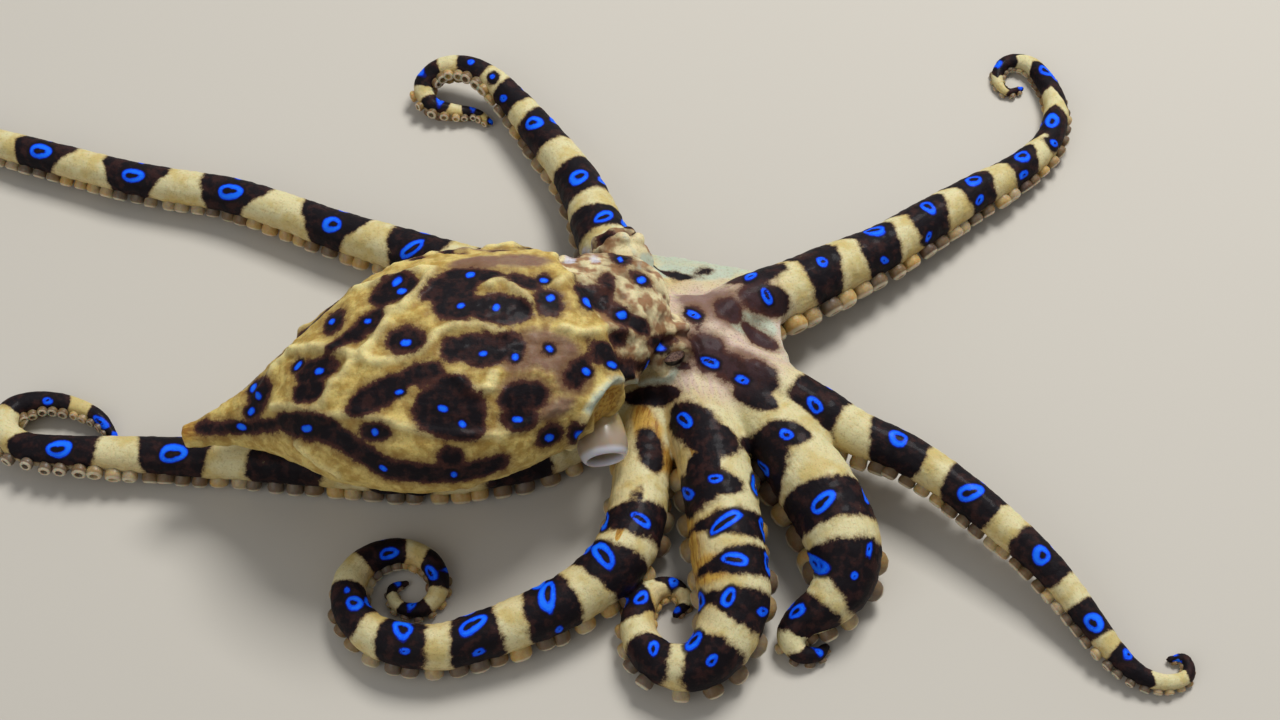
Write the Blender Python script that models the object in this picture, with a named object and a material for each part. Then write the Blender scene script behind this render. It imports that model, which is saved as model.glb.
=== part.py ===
"""A blue ringed octopus crawling over a flat floor, life size, as a still museum model.

The body lies along +X from the mantle's tip to the head, and the arms spread from the crown under the head.
Sizes below are in millimetres, and every mesh is made in metres. The floor is z = 0.
"""

import math

import bmesh
import bpy
import numpy as np
from mathutils import Vector

MM = 0.001
GAP = 0.3  # between nodes that touch
FLOOR = 0.0

# Arms. Each route runs from the crown to the arm's tip in points of x, y, lift and radius. Lift is how far the
# arm is held above its resting height, where its suckers stand on the floor.
REST_HEIGHT = 1.2  # the height of a resting arm's centre line, in arm radii
ROUTES = {
    "left_arm_1": [
        (4.5, -3.0, 2.6, 3.2), (10.4, 1.8, 2.4, 3.2), (14.9, 4.6, 1.9, 3.0), (19.6, 7.8, 1.3, 2.8),
        (24.4, 10.9, 0.9, 2.5), (29.5, 14.8, 0.8, 2.3), (34.7, 18.9, 0.6, 2.0), (39.8, 22.8, 0.4, 1.7),
        (43.2, 26.8, 0.2, 1.5), (44.6, 31.6, 0.1, 1.3), (43.9, 35.8, 0.0, 1.1), (42.2, 38.6, 0.0, 0.95),
        (40.0, 38.9, 0.0, 0.8), (38.8, 37.0, 0.0, 0.65), (39.7, 35.0, 0.0, 0.5), (41.4, 35.6, 0.0, 0.35),
    ],
    "right_arm_1": [
        (4.5, -3.5, 2.7, 3.2), (12.6, -8.3, 3.0, 3.1), (17.2, -10.7, 2.9, 2.7), (21.0, -12.7, 2.9, 2.25),
        (24.8, -14.4, 2.9, 2.05), (28.0, -16.6, 2.8, 1.95), (31.1, -19.2, 2.5, 1.9), (34.5, -22.5, 2.2, 1.8),
        (37.5, -25.6, 1.8, 1.65), (40.0, -28.8, 1.2, 1.5), (42.0, -31.8, 0.7, 1.35), (43.9, -34.4, 0.3, 1.15),
        (46.0, -36.2, 0.0, 0.95), (48.4, -36.8, 0.0, 0.8), (50.4, -35.9, 0.0, 0.65), (50.3, -34.1, 0.0, 0.5),
        (48.9, -34.1, 0.0, 0.35),
    ],
    "right_arm_2": [
        (4.4, -4.0, 2.6, 3.2), (10.8, -9.6, 2.4, 3.2), (13.8, -13.8, 1.9, 3.4), (16.2, -17.9, 1.2, 3.7),
        (18.1, -21.6, 0.7, 3.7), (19.1, -25.0, 0.5, 3.5), (18.8, -28.0, 0.3, 2.9), (17.0, -30.0, 0.2, 2.3),
        (15.0, -31.0, 0.1, 1.75), (13.9, -32.5, 0.0, 1.3), (14.8, -33.9, 0.0, 0.95), (16.4, -33.8, 0.0, 0.7),
        (17.2, -32.9, 0.0, 0.45),
    ],
    "right_arm_3": [
        (4.2, -4.4, 2.4, 3.2), (6.2, -12.8, 2.1, 3.4), (7.1, -17.2, 1.9, 3.5), (7.85, -21.9, 1.4, 3.5),
        (8.3, -26.2, 0.8, 3.55), (8.7, -30.1, 0.5, 3.35), (7.6, -34.0, 0.3, 2.9), (5.2, -36.2, 0.2, 2.4),
        (2.2, -35.8, 0.1, 2.1), (0.2, -33.4, 0.1, 1.8), (-0.2, -30.3, 0.0, 1.55), (1.1, -27.6, 0.0, 1.25),
        (3.2, -26.9, 0.0, 0.95), (4.3, -28.2, 0.0, 0.7), (3.4, -29.4, 0.0, 0.45),
    ],
    "right_arm_4": [
        (3.0, -4.4, 1.5, 2.9), (1.1, -11.0, 1.0, 2.8), (0.1, -17.0, 0.7, 2.75), (-0.5, -22.0, 0.6, 2.85),
        (-2.1, -25.7, 0.5, 2.9), (-5.5, -28.8, 0.4, 2.6), (-8.8, -30.8, 0.4, 2.5), (-11.9, -32.1, 0.3, 2.4),
        (-15.1, -33.3, 0.3, 2.3), (-18.3, -34.1, 0.2, 2.2), (-21.6, -33.9, 0.2, 2.1), (-24.8, -32.4, 0.1, 1.9),
        (-26.9, -29.7, 0.1, 1.75), (-27.0, -26.3, 0.0, 1.6), (-24.9, -23.8, 0.0, 1.4), (-22.0, -23.2, 0.0, 1.25),
        (-19.5, -24.7, 0.0, 1.1), (-18.9, -27.3, 0.0, 0.95), (-20.5, -29.2, 0.0, 0.8), (-22.7, -28.6, 0.0, 0.65),
        (-23.3, -26.7, 0.0, 0.5), (-22.0, -26.0, 0.0, 0.35),
    ],
    "left_arm_4": [
        (3.0, -4.0, 1.3, 2.9), (-3.0, -9.2, 0.6, 2.6), (-9.2, -12.9, 0.1, 2.5), (-15.3, -14.4, 0.0, 2.5),
        (-22.6, -14.8, 0.0, 2.4), (-29.7, -14.4, 0.2, 2.3), (-37.5, -13.7, 0.2, 2.1), (-44.8, -13.2, 0.2, 1.95),
        (-50.7, -12.9, 0.2, 1.85), (-56.1, -12.6, 0.2, 1.75), (-59.9, -11.8, 0.1, 1.6), (-62.1, -9.7, 0.1, 1.45),
        (-61.6, -7.1, 0.0, 1.3), (-59.1, -6.1, 0.0, 1.15), (-56.0, -6.4, 0.0, 1.0), (-53.2, -7.7, 0.0, 0.8),
        (-51.6, -9.6, 0.0, 0.5),
    ],
    "left_arm_3": [
        (3.2, -2.4, 1.6, 3.0), (-3.4, 3.2, 1.1, 2.9), (-10.0, 5.6, 0.8, 2.8), (-16.1, 8.0, 0.6, 2.6),
        (-23.1, 10.8, 0.6, 2.35), (-31.5, 14.2, 0.6, 2.1), (-36.6, 16.5, 0.6, 2.0), (-42.4, 18.8, 0.6, 1.9),
        (-47.9, 20.1, 0.5, 1.85), (-53.1, 21.3, 0.5, 1.8), (-58.2, 23.0, 0.4, 1.75), (-63.1, 24.6, 0.4, 1.7),
        (-67.8, 26.3, 0.3, 1.6), (-72.6, 28.0, 0.2, 1.45), (-77.2, 28.8, 0.1, 1.25), (-80.8, 28.0, 0.0, 1.05),
        (-82.3, 25.6, 0.0, 0.85), (-81.0, 23.4, 0.0, 0.65), (-79.0, 24.0, 0.0, 0.4),
    ],
    "left_arm_2": [
        (3.8, -2.6, 2.2, 3.1), (-1.0, 5.6, 2.0, 3.0), (-3.8, 11.6, 1.5, 2.8), (-5.1, 16.2, 1.1, 2.5),
        (-6.5, 20.1, 0.8, 2.3), (-8.8, 24.4, 0.6, 2.1), (-11.2, 28.2, 0.7, 1.9), (-13.5, 31.6, 1.0, 1.65),
        (-15.9, 34.3, 1.6, 1.45), (-18.8, 35.9, 1.9, 1.35), (-21.6, 36.1, 1.4, 1.25), (-23.3, 34.4, 0.7, 1.15),
        (-22.4, 32.4, 0.2, 1.0), (-20.0, 31.9, 0.0, 0.85), (-17.6, 31.7, 0.0, 0.65), (-16.1, 30.7, 0.0, 0.45),
    ],
}
# The way each arm's back faces, at its root and at its tip. Curled tips lean, and so show their suckers.
LEANS = {
    "left_arm_1": ((-0.15, 0.3, 0.95), (-0.2, 0.2, 0.95)),
    "left_arm_2": ((0.0, 0.0, 1.0), (0.0, 0.8, 0.6)),
    "left_arm_3": ((0.0, 0.0, 1.0), (0.0, 0.2, 0.98)),
    "left_arm_4": ((0.0, 0.0, 1.0), (0.0, 0.75, 0.65)),
    "right_arm_1": ((0.1, 0.2, 0.97), (0.3, 0.3, 0.9)),
    "right_arm_2": ((0.0, 0.0, 1.0), (0.0, 0.1, 1.0)),
    "right_arm_3": ((0.0, 0.0, 1.0), (0.1, 0.3, 0.95)),
    "right_arm_4": ((0.0, 0.0, 1.0), (0.0, 0.2, 0.98)),
}
LEAN_FROM, LEAN_TO = 0.55, 0.75  # the stretch of an arm over which its back turns, as shares of its length
# Where each arm is divided, in millimetres along it. The first cut is where it leaves the crown.
CUTS = {
    "left_arm_1": (15.0, 31.0, 46.0, 57.0),
    "left_arm_2": (14.5, 27.0, 39.0),
    "left_arm_3": (14.0, 31.0, 50.0, 70.0, 84.0),
    "left_arm_4": (12.0, 32.0, 50.0, 62.0),
    "right_arm_1": (19.5, 33.0, 46.0),
    "right_arm_2": (19.0, 27.0, 34.0),
    "right_arm_3": (14.0, 25.0, 33.0, 40.0),
    "right_arm_4": (12.0, 27.0, 41.0, 50.0, 59.0),
}
ARM_SIDES = 10
BELLY = 0.86  # an arm is flatter under its suckers, as a share of its radius
RING_STEP = 1.7  # between an arm's rings of points, in arm radii

# Suckers stand in two rows under each arm.
SUCKER_TILT = math.radians(50)  # from straight under the arm
SUCKER_RADIUS = 0.44  # in arm radii, as are the next two
SUCKER_HEIGHT = 0.5
SUCKER_PITCH = 2.9
SUCKER_LEAST_PITCH = 1.6
SUCKER_DISH = 0.3  # depth of the cup, in sucker radii
SUCKER_SIDES = 6
FIRST_SUCKER = 6.0  # from the crown's middle

# Webs join neighbouring arms: the first arm's reach, the second arm's reach and how deep the free edge is cut.
WEBS = [
    ("left_arm_2", "left_arm_1", 14.0, 14.4, 0.0),
    ("left_arm_1", "right_arm_1", 13.4, 15.4, 0.22),
    ("right_arm_1", "right_arm_2", 14.0, 14.0, 0.20),
    ("right_arm_2", "right_arm_3", 14.0, 13.0, 0.25),
    ("right_arm_3", "right_arm_4", 12.5, 11.0, 0.25),
    ("right_arm_4", "left_arm_4", 10.0, 10.0, 0.35),
    ("left_arm_4", "left_arm_3", 9.0, 9.0, 0.35),
    ("left_arm_3", "left_arm_2", 10.0, 10.5, 0.30),
]
WEB_THICKNESS = 1.0
WEB_RISE = 0.35  # of the arm radius, above the arm's middle

CROWN_MIDDLE = (4.6, -3.6, 6.6)
CROWN_SIZE = (6.6, 6.4, 3.6)

# Mantle sections from its tip to its open end: x, y, z, half width, height over and depth under the middle.
MANTLE = [
    (-42.9, -14.6, 8.2, 0.8, 0.9, 0.8),
    (-41.2, -14.2, 8.4, 1.3, 1.3, 1.2),
    (-38.0, -13.4, 8.9, 2.3, 2.1, 1.9),
    (-33.3, -12.8, 10.2, 5.2, 4.0, 3.3),
    (-27.6, -12.4, 12.0, 9.4, 6.4, 5.0),
    (-21.2, -11.4, 13.2, 12.0, 7.8, 6.2),
    (-15.3, -9.7, 13.4, 12.0, 8.0, 6.4),
    (-10.0, -7.2, 13.0, 10.8, 7.2, 6.0),
    (-6.3, -5.0, 12.5, 9.4, 6.3, 5.4),
]
MANTLE_SIDES = 20
MANTLE_RINGS = 20

# Head sections from the neck forward.
HEAD = [
    (-6.3, -5.0, 12.4, 8.1, 5.7, 4.6),
    (-3.9, -3.4, 12.0, 7.1, 5.1, 4.8),
    (-2.2, -2.1, 11.6, 6.4, 4.7, 5.0),
    (-0.8, -1.1, 11.2, 5.6, 4.2, 5.0),
    (0.3, -0.4, 10.7, 4.4, 3.5, 4.6),
    (1.0, 0.0, 10.2, 2.4, 2.2, 3.2),
]
HEAD_SIDES = 16
HEAD_RINGS = 9
EYE_MIDDLES = {"eye_right": (2.9, -6.0, 9.9), "eye_left": (-2.3, 6.6, 9.9)}
EYE_RADIUS = 1.5
EYE_BULGE = 2.9  # radius of the swelling that carries the eye
EYE_SUNK = 1.7  # how far the bulge's middle is behind the eye's middle
LID_RING = 1.25  # radius of the eyelid's fold
LID_THICKNESS = 0.5
LID_FORWARD = 0.85  # how far the lid is in front of the eye's middle

# Funnel: from under the mantle's edge to its open mouth.
FUNNEL_ROOT = (-4.4, -10.6, 9.3)
FUNNEL_MOUTH = (-3.4, -16.2, 7.9)
FUNNEL_PROFILE = [(0.0, 1.5), (0.35, 2.0), (0.75, 2.4), (1.0, 2.35)]  # share of its length, radius
FUNNEL_WALL = 0.55
FUNNEL_DEPTH = 0.6  # of its length
FUNNEL_SIDES = 14

# Colour and roughness of each part
COLOURS = {
    "mantle": ((0.58, 0.42, 0.12, 1.0), 0.50),
    "head": ((0.66, 0.50, 0.22, 1.0), 0.45),
    "crown": ((0.68, 0.50, 0.42, 1.0), 0.40),
    "arm": ((0.70, 0.60, 0.32, 1.0), 0.45),
    "eye": ((0.05, 0.04, 0.035, 1.0), 0.15),
    "funnel": ((0.52, 0.47, 0.36, 1.0), 0.35),
}


def clear_scene():
    for obj in list(bpy.data.objects):
        bpy.data.objects.remove(obj)


def material(name):
    """The named Principled material, made on first use."""
    found = bpy.data.materials.get(name)
    if found:
        return found
    made = bpy.data.materials.new(name)
    made.use_nodes = True
    shader = made.node_tree.nodes["Principled BSDF"]
    colour, roughness = COLOURS[name]
    shader.inputs["Base Color"].default_value = colour
    shader.inputs["Roughness"].default_value = roughness
    shader.inputs["Metallic"].default_value = 0.0
    return made


def add_solid(name, points, faces, finish="arm"):
    """A round mesh object from points in millimetres, its faces turned outwards."""
    mesh = bpy.data.meshes.new(name)
    mesh.from_pydata([Vector(p) * MM for p in points], [], faces)
    shape = bmesh.new()
    shape.from_mesh(mesh)
    bmesh.ops.recalc_face_normals(shape, faces=shape.faces)
    for face in shape.faces:
        face.smooth = True
    shape.to_mesh(mesh)
    shape.free()
    mesh.materials.append(material(finish))
    obj = bpy.data.objects.new(name, mesh)
    bpy.context.scene.collection.objects.link(obj)
    return obj


def combine(obj, others, operation):
    """Joins the other solids to obj, or cuts them from it, and removes them."""
    group = bpy.data.collections.new("pieces")
    bpy.context.scene.collection.children.link(group)
    for other in others:
        bpy.context.scene.collection.objects.unlink(other)
        group.objects.link(other)
    modifier = obj.modifiers.new("combine", "BOOLEAN")
    modifier.operation = operation
    modifier.operand_type = "COLLECTION"
    modifier.collection = group
    modifier.solver = "MANIFOLD"
    bpy.context.view_layer.objects.active = obj
    bpy.ops.object.modifier_apply(modifier=modifier.name)
    for other in others:
        bpy.data.objects.remove(other)
    bpy.data.collections.remove(group)
    keep_largest(obj)


def fit_round(obj, neighbours):
    """Cuts obj clear of its neighbours by the gap."""
    for neighbour in neighbours:
        swollen = neighbour.copy()
        swollen.data = neighbour.data.copy()
        bpy.context.scene.collection.objects.link(swollen)
        shape = bmesh.new()
        shape.from_mesh(swollen.data)
        moves = [v.normal * v.calc_shell_factor() * GAP * MM for v in shape.verts]
        for vert, move in zip(shape.verts, moves):
            vert.co += move
        shape.to_mesh(swollen.data)
        shape.free()
        combine(obj, [swollen], "DIFFERENCE")


def volume(verts):
    """The volume that a closed surface holds."""
    faces = {face for vert in verts for face in vert.link_faces}
    total = 0.0
    for face in faces:
        first, *rest = [v.co for v in face.verts]
        total += sum(first.dot(a.cross(b)) for a, b in zip(rest, rest[1:]))
    return total / 6


def keep_largest(obj):
    """Leaves only the closed surface that holds the most."""
    shape = bmesh.new()
    shape.from_mesh(obj.data)
    todo = set(shape.verts)
    surfaces = []
    while todo:
        seed = todo.pop()
        surface, edge = {seed}, [seed]
        while edge:
            for link in edge.pop().link_edges:
                fresh = set(link.verts) - surface
                surface |= fresh
                edge += fresh
        todo -= surface
        surfaces.append(surface)
    surfaces.sort(key=volume)
    for surface in surfaces[:-1]:
        bmesh.ops.delete(shape, geom=list(surface), context="VERTS")
    shape.to_mesh(obj.data)
    shape.free()


def catmull_rom(points, step):
    """A smooth line through the points, resampled at an even step of length along x, y and z."""
    points = np.array(points, float)
    points = np.vstack([2 * points[0] - points[1], points, 2 * points[-1] - points[-2]])
    line = []
    for a, b, c, d in zip(points, points[1:], points[2:], points[3:]):
        spans = [math.sqrt(max(np.linalg.norm((q - p)[:3]), 1e-6)) for p, q in ((a, b), (b, c), (c, d))]
        t0, t1 = 0.0, spans[0]
        t2 = t1 + spans[1]
        t3 = t2 + spans[2]
        t = np.linspace(t1, t2, 24, endpoint=False)[:, None]
        p01 = (t1 - t) / (t1 - t0) * a + (t - t0) / (t1 - t0) * b
        p12 = (t2 - t) / (t2 - t1) * b + (t - t1) / (t2 - t1) * c
        p23 = (t3 - t) / (t3 - t2) * c + (t - t2) / (t3 - t2) * d
        p012 = (t2 - t) / (t2 - t0) * p01 + (t - t0) / (t2 - t0) * p12
        p123 = (t3 - t) / (t3 - t1) * p12 + (t - t1) / (t3 - t1) * p23
        line.append((t2 - t) / (t2 - t1) * p012 + (t - t1) / (t2 - t1) * p123)
    line = np.vstack([*line, points[-2][None]])
    along = np.concatenate([[0], np.cumsum(np.linalg.norm(np.diff(line[:, :3], axis=0), axis=1))])
    even = np.linspace(0, along[-1], max(2, int(along[-1] / step)))
    return even, np.stack([np.interp(even, along, line[:, i]) for i in range(line.shape[1])], axis=1)


class Arm:
    """An arm's centre line, radius and facing, by distance along it."""

    STEP = 0.1

    def __init__(self, name):
        route = [(x, y, FLOOR + REST_HEIGHT * r + lift, r) for x, y, lift, r in ROUTES[name]]
        self.along, line = catmull_rom(route, self.STEP)
        self.centre, self.radii = line[:, :3], line[:, 3]
        self.length = self.along[-1]
        share = np.clip((self.along / self.length - LEAN_FROM) / (LEAN_TO - LEAN_FROM), 0, 1)[:, None]
        share = share * share * (3 - 2 * share)
        root, tip = (np.array(v, float) for v in LEANS[name])
        self.ahead = np.gradient(self.centre, axis=0)
        self.ahead /= np.linalg.norm(self.ahead, axis=1)[:, None]
        lean = root * (1 - share) + tip * share
        self.back = lean - (lean * self.ahead).sum(1)[:, None] * self.ahead
        self.back /= np.linalg.norm(self.back, axis=1)[:, None]
        self.side = np.cross(self.ahead, self.back)

    def at(self, s):
        """Centre, radius, ahead, back and side at s millimetres along."""
        i = int(round(min(max(s, 0), self.length) / self.length * (len(self.along) - 1)))
        return self.centre[i], self.radii[i], self.ahead[i], self.back[i], self.side[i]

    def ring(self, s):
        """Points round the arm."""
        centre, radius, _, back, side = self.at(s)
        ring = []
        for k in range(ARM_SIDES):
            angle = math.tau * (k + 0.5) / ARM_SIDES
            over = math.sin(angle) * (1.0 if math.sin(angle) > 0 else BELLY)
            ring.append(centre + radius * (math.cos(angle) * side + over * back))
        return ring


def loft(name, rings, first=None, last=None, finish="arm"):
    """A closed solid through rings of equal size. An end is a fan to its own point, or to the ring's middle."""
    size = len(rings[0])
    points = [p for ring in rings for p in ring]
    faces = []
    for j in range(len(rings) - 1):
        for k in range(size):
            a, b = j * size + k, j * size + (k + 1) % size
            faces.append((a, b, b + size, a + size))
    for ring, start, tip in ((rings[0], 0, first), (rings[-1], (len(rings) - 1) * size, last)):
        points.append(np.mean(ring, axis=0) if tip is None else tip)
        faces += [(start + k, start + (k + 1) % size, len(points) - 1) for k in range(size)]
    return add_solid(name, points, faces, finish)


def ring_places(arm, start, end):
    """Places for rings from start to end, closer together where the arm is thin."""
    places = [start]
    while places[-1] < end:
        places.append(places[-1] + RING_STEP * arm.at(places[-1])[1])
    shares = (np.array(places) - start) / (places[-1] - start)
    return start + shares * (end - start)


def arm_tube(name, arm, start, end):
    """The arm between two places along it. The tip closes to a point."""
    rings = [arm.ring(s) for s in ring_places(arm, start, end)]
    if end >= arm.length:
        centre, radius, ahead, _, _ = arm.at(end)
        return loft(name, rings, last=centre + ahead * radius)
    return loft(name, rings)


def sucker_places(arm):
    """Every sucker on the arm: its place along it and its side, left or right by turns."""
    places, s, turn = [], FIRST_SUCKER, 1
    while s < arm.length - 0.4:
        places.append((s, turn))
        s += max(SUCKER_PITCH * arm.at(s)[1], SUCKER_LEAST_PITCH) / 2
        turn = -turn
    return places


def sucker(arm, s, turn):
    """A cup on a short stalk, its root sunk in the arm and its rim flat where it meets the floor."""
    centre, radius, ahead, back, side = arm.at(s)
    out = -math.cos(SUCKER_TILT) * back + turn * math.sin(SUCKER_TILT) * side
    across = np.cross(ahead, out)
    wide = SUCKER_RADIUS * radius
    rim = radius * (0.93 + SUCKER_HEIGHT)
    rings = []
    for reach, spread in ((0.45 * radius, 0.6), (0.55 * rim + 0.3 * radius, 0.72), (rim, 1.0)):
        angles = [math.tau * k / SUCKER_SIDES for k in range(SUCKER_SIDES)]
        rings.append(
            [centre + out * reach + wide * spread * (math.cos(a) * ahead + math.sin(a) * across) for a in angles]
        )
    for p in [*rings[1], *rings[2]]:
        p[2] = max(p[2], FLOOR)
    dish = np.mean(rings[2], axis=0) - out * SUCKER_DISH * wide
    return loft("sucker", rings, last=dish)


def suckers(arm, start, end):
    """The suckers whose roots are whole between two places along the arm."""
    made = []
    for s, turn in sucker_places(arm):
        margin = SUCKER_RADIUS * arm.at(s)[1] * 1.05
        if s - margin > start and (s + margin < end or end >= arm.length):
            made.append(sucker(arm, s, turn))
    return made


def web(arms, first, second, first_reach, second_reach, cut):
    """A membrane between two arms with a scalloped free edge, alike above and below."""
    across, out = 8, 5
    top, faces = [], []
    for j in range(out + 1):
        for i in range(across + 1):
            u = i / across
            v = (0.12 + 0.88 * j / out) * (1 - cut * 4 * u * (1 - u))
            a, ra, _, back_a, _ = arms[first].at(v * first_reach)
            b, rb, _, back_b, _ = arms[second].at(v * second_reach)
            a, b = a + back_a * ra * WEB_RISE, b + back_b * rb * WEB_RISE
            top.append(a * (1 - u) + b * u)
    under = [p - np.array([0, 0, WEB_THICKNESS]) for p in top]
    count, row = len(top), across + 1
    for j in range(out):
        for i in range(across):
            a = j * row + i
            for t in ((a, a + 1, a + row + 1), (a, a + row + 1, a + row)):
                faces += [t, tuple(count + k for k in t)]
    rim = [*range(row), *(j * row + across for j in range(1, out + 1))]
    rim += [*(out * row + i for i in range(across - 1, -1, -1)), *(j * row for j in range(out - 1, 0, -1))]
    for a, b in zip(rim, rim[1:] + rim[:1]):
        faces.append((a, b, count + b, count + a))
    return add_solid("web", top + under, faces)


def ellipsoid(name, middle, size, around=16, tall=9, finish="arm"):
    middle, size = np.array(middle), np.array(size)
    turns = [math.tau * k / around for k in range(around)]
    rings = []
    for j in range(1, tall):
        lat = math.pi * j / tall - math.pi / 2
        flat = math.cos(lat)
        rings.append([middle + size * (flat * math.cos(t), flat * math.sin(t), math.sin(lat)) for t in turns])
    poles = [middle + size * (0, 0, end) for end in (-1, 1)]
    return loft(name, rings, *poles, finish)


def body_rings(sections, sides, count):
    """Rings round a smooth line through the sections. Their upright stays near vertical."""
    along, line = catmull_rom(sections, 0.2)
    ahead = np.gradient(line[:, :3], axis=0)
    rings = []
    for share in np.linspace(0, 1, count):
        i = int(round(share * (len(along) - 1)))
        x, y, z, wide, over, under = line[i]
        way = ahead[i] / np.linalg.norm(ahead[i])
        side = np.cross(way, (0, 0, 1))
        side /= np.linalg.norm(side)
        up = np.cross(side, way)
        ring = []
        for k in range(sides):
            angle = math.tau * (k + 0.5) / sides
            tall = over if math.sin(angle) > 0 else under
            ring.append(np.array([x, y, z]) + wide * math.cos(angle) * side + tall * math.sin(angle) * up)
        rings.append(ring)
    return rings


def make_crown(arms, neighbours):
    crown = ellipsoid("arm_crown", CROWN_MIDDLE, CROWN_SIZE, finish="crown")
    pieces = [web(arms, *row) for row in WEBS]
    for name, arm in arms.items():
        end = CUTS[name][0] - GAP / 2
        pieces.append(arm_tube("root", arm, 0.0, end))
        pieces += suckers(arm, 0.0, end)
    combine(crown, pieces, "UNION")
    fit_round(crown, neighbours)


def make_arm(name, arm):
    """The arm's lengths beyond the crown, each with its own suckers."""
    cuts = [*CUTS[name], arm.length]
    words = {2: ("near", "far"), 3: ("near", "middle", "tip"), 4: ("near", "middle", "far", "tip")}
    words[5] = ("near", "second", "third", "far", "tip")
    for word, start, end in zip(words[len(cuts) - 1], cuts, cuts[1:]):
        start += GAP / 2
        end = end if end >= arm.length else end - GAP / 2
        length = arm_tube(f"{name}_{word}", arm, start, end)
        held = suckers(arm, start, end)
        if held:
            combine(length, held, "UNION")


def make_mantle():
    return loft("mantle", body_rings(MANTLE, MANTLE_SIDES, MANTLE_RINGS), finish="mantle")


def eye_way(name):
    """The level direction that an eye looks in, away from the other."""
    other = next(n for n in EYE_MIDDLES if n != name)
    way = Vector(EYE_MIDDLES[name]) - Vector(EYE_MIDDLES[other])
    return Vector((way.x, way.y, 0)).normalized()


def eyelid(name):
    """The fold of skin round an eye, a ring with its hole to the front."""
    way = eye_way(name)
    side = way.cross(Vector((0, 0, 1)))
    middle = Vector(EYE_MIDDLES[name]) + way * LID_FORWARD
    sides, around = 6, 12
    points, faces = [], []
    for j in range(around):
        turn = math.tau * j / around
        spoke = math.cos(turn) * side + math.sin(turn) * Vector((0, 0, 1))
        for k in range(sides):
            angle = math.tau * k / sides
            wide = LID_RING + LID_THICKNESS * math.cos(angle)
            points.append(middle + spoke * wide + way * LID_THICKNESS * math.sin(angle))
            a, b = j * sides + k, j * sides + (k + 1) % sides
            c, d = (j + 1) % around * sides + k, (j + 1) % around * sides + (k + 1) % sides
            faces.append((a, b, d, c))
    return add_solid("lid", points, faces)


def make_head(mantle):
    head = loft("head", body_rings(HEAD, HEAD_SIDES, HEAD_RINGS), finish="head")
    bulges = []
    for name, middle in EYE_MIDDLES.items():
        place = Vector(middle) - eye_way(name) * EYE_SUNK
        bulges += [ellipsoid("bulge", place, (EYE_BULGE,) * 3, 12, 7), eyelid(name)]
    combine(head, bulges, "UNION")
    sockets = [ellipsoid("socket", m, (EYE_RADIUS + GAP,) * 3, 14, 8) for m in EYE_MIDDLES.values()]
    combine(head, sockets, "DIFFERENCE")
    fit_round(head, [mantle])
    return head


def make_eyes():
    return [ellipsoid(name, m, (EYE_RADIUS,) * 3, 14, 8, "eye") for name, m in EYE_MIDDLES.items()]


def make_funnel(neighbours):
    root, mouth = Vector(FUNNEL_ROOT), Vector(FUNNEL_MOUTH)
    way = (mouth - root).normalized()
    side = way.orthogonal().normalized()
    other = way.cross(side)
    inside = [(share, radius - FUNNEL_WALL) for share, radius in reversed(FUNNEL_PROFILE)]
    rows = FUNNEL_PROFILE + [(share, radius) for share, radius in inside if share > 1 - FUNNEL_DEPTH]
    rings = []
    for share, radius in rows:
        middle = root.lerp(mouth, share)
        angles = [math.tau * k / FUNNEL_SIDES for k in range(FUNNEL_SIDES)]
        rings.append([np.array(middle + radius * (math.cos(a) * side + math.sin(a) * other)) for a in angles])
    funnel = loft("funnel", rings, finish="funnel")
    fit_round(funnel, neighbours)
    return funnel


def stand_at_origin():
    """Moves the whole model so that the middle of its box is over the origin."""
    bpy.context.view_layer.update()
    corners = np.array([v.co[:] for obj in bpy.data.objects for v in obj.data.vertices])
    low, high = corners.min(0), corners.max(0)
    shift = Vector((-(low[0] + high[0]) / 2, -(low[1] + high[1]) / 2, 0))
    for obj in bpy.data.objects:
        obj.location = shift


def main():
    clear_scene()
    arms = {name: Arm(name) for name in ROUTES}
    mantle = make_mantle()
    head = make_head(mantle)
    eyes = make_eyes()
    make_crown(arms, [mantle, head, *eyes])
    make_funnel([mantle, head])
    for name, arm in arms.items():
        make_arm(name, arm)
    stand_at_origin()


main()
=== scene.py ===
"""The looks of a blue ringed octopus, as a still life-size museum model.

Shapes are worked out in millimetres in the part's design frame: x towards the head, z up from the floor.
Every mesh is moved into the frame's metres when it is made. Places in the photo are pixels, and what is
drawn there lies on the skin that its camera sees.
"""

import math
import random

import bmesh
import bpy
import numpy as np
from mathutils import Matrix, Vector, noise
from mathutils.bvhtree import BVHTree
from mathutils.kdtree import KDTree


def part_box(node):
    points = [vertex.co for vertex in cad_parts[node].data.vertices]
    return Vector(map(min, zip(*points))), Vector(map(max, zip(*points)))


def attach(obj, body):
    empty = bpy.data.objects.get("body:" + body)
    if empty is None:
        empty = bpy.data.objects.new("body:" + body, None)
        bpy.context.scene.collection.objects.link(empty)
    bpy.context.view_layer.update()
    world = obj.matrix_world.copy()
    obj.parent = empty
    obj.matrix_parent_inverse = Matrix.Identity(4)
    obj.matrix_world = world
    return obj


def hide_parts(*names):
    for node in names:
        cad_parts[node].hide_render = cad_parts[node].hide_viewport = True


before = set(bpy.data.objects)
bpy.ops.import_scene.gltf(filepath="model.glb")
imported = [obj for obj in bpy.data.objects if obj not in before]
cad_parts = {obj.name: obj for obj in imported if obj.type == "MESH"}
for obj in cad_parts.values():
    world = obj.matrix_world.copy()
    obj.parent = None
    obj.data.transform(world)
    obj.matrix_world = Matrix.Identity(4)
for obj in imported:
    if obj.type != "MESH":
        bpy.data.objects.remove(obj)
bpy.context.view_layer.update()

MM = 0.001
EYE_MIDDLES = {"eye_right": (2.9, -6.0, 9.9), "eye_left": (-2.3, 6.6, 9.9)}


def find_shift():
    """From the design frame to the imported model's, in metres."""
    low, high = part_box("eye_right")
    return (low + high) / 2 - Vector(EYE_MIDDLES["eye_right"]) * MM


SHIFT = np.array(find_shift())

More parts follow.
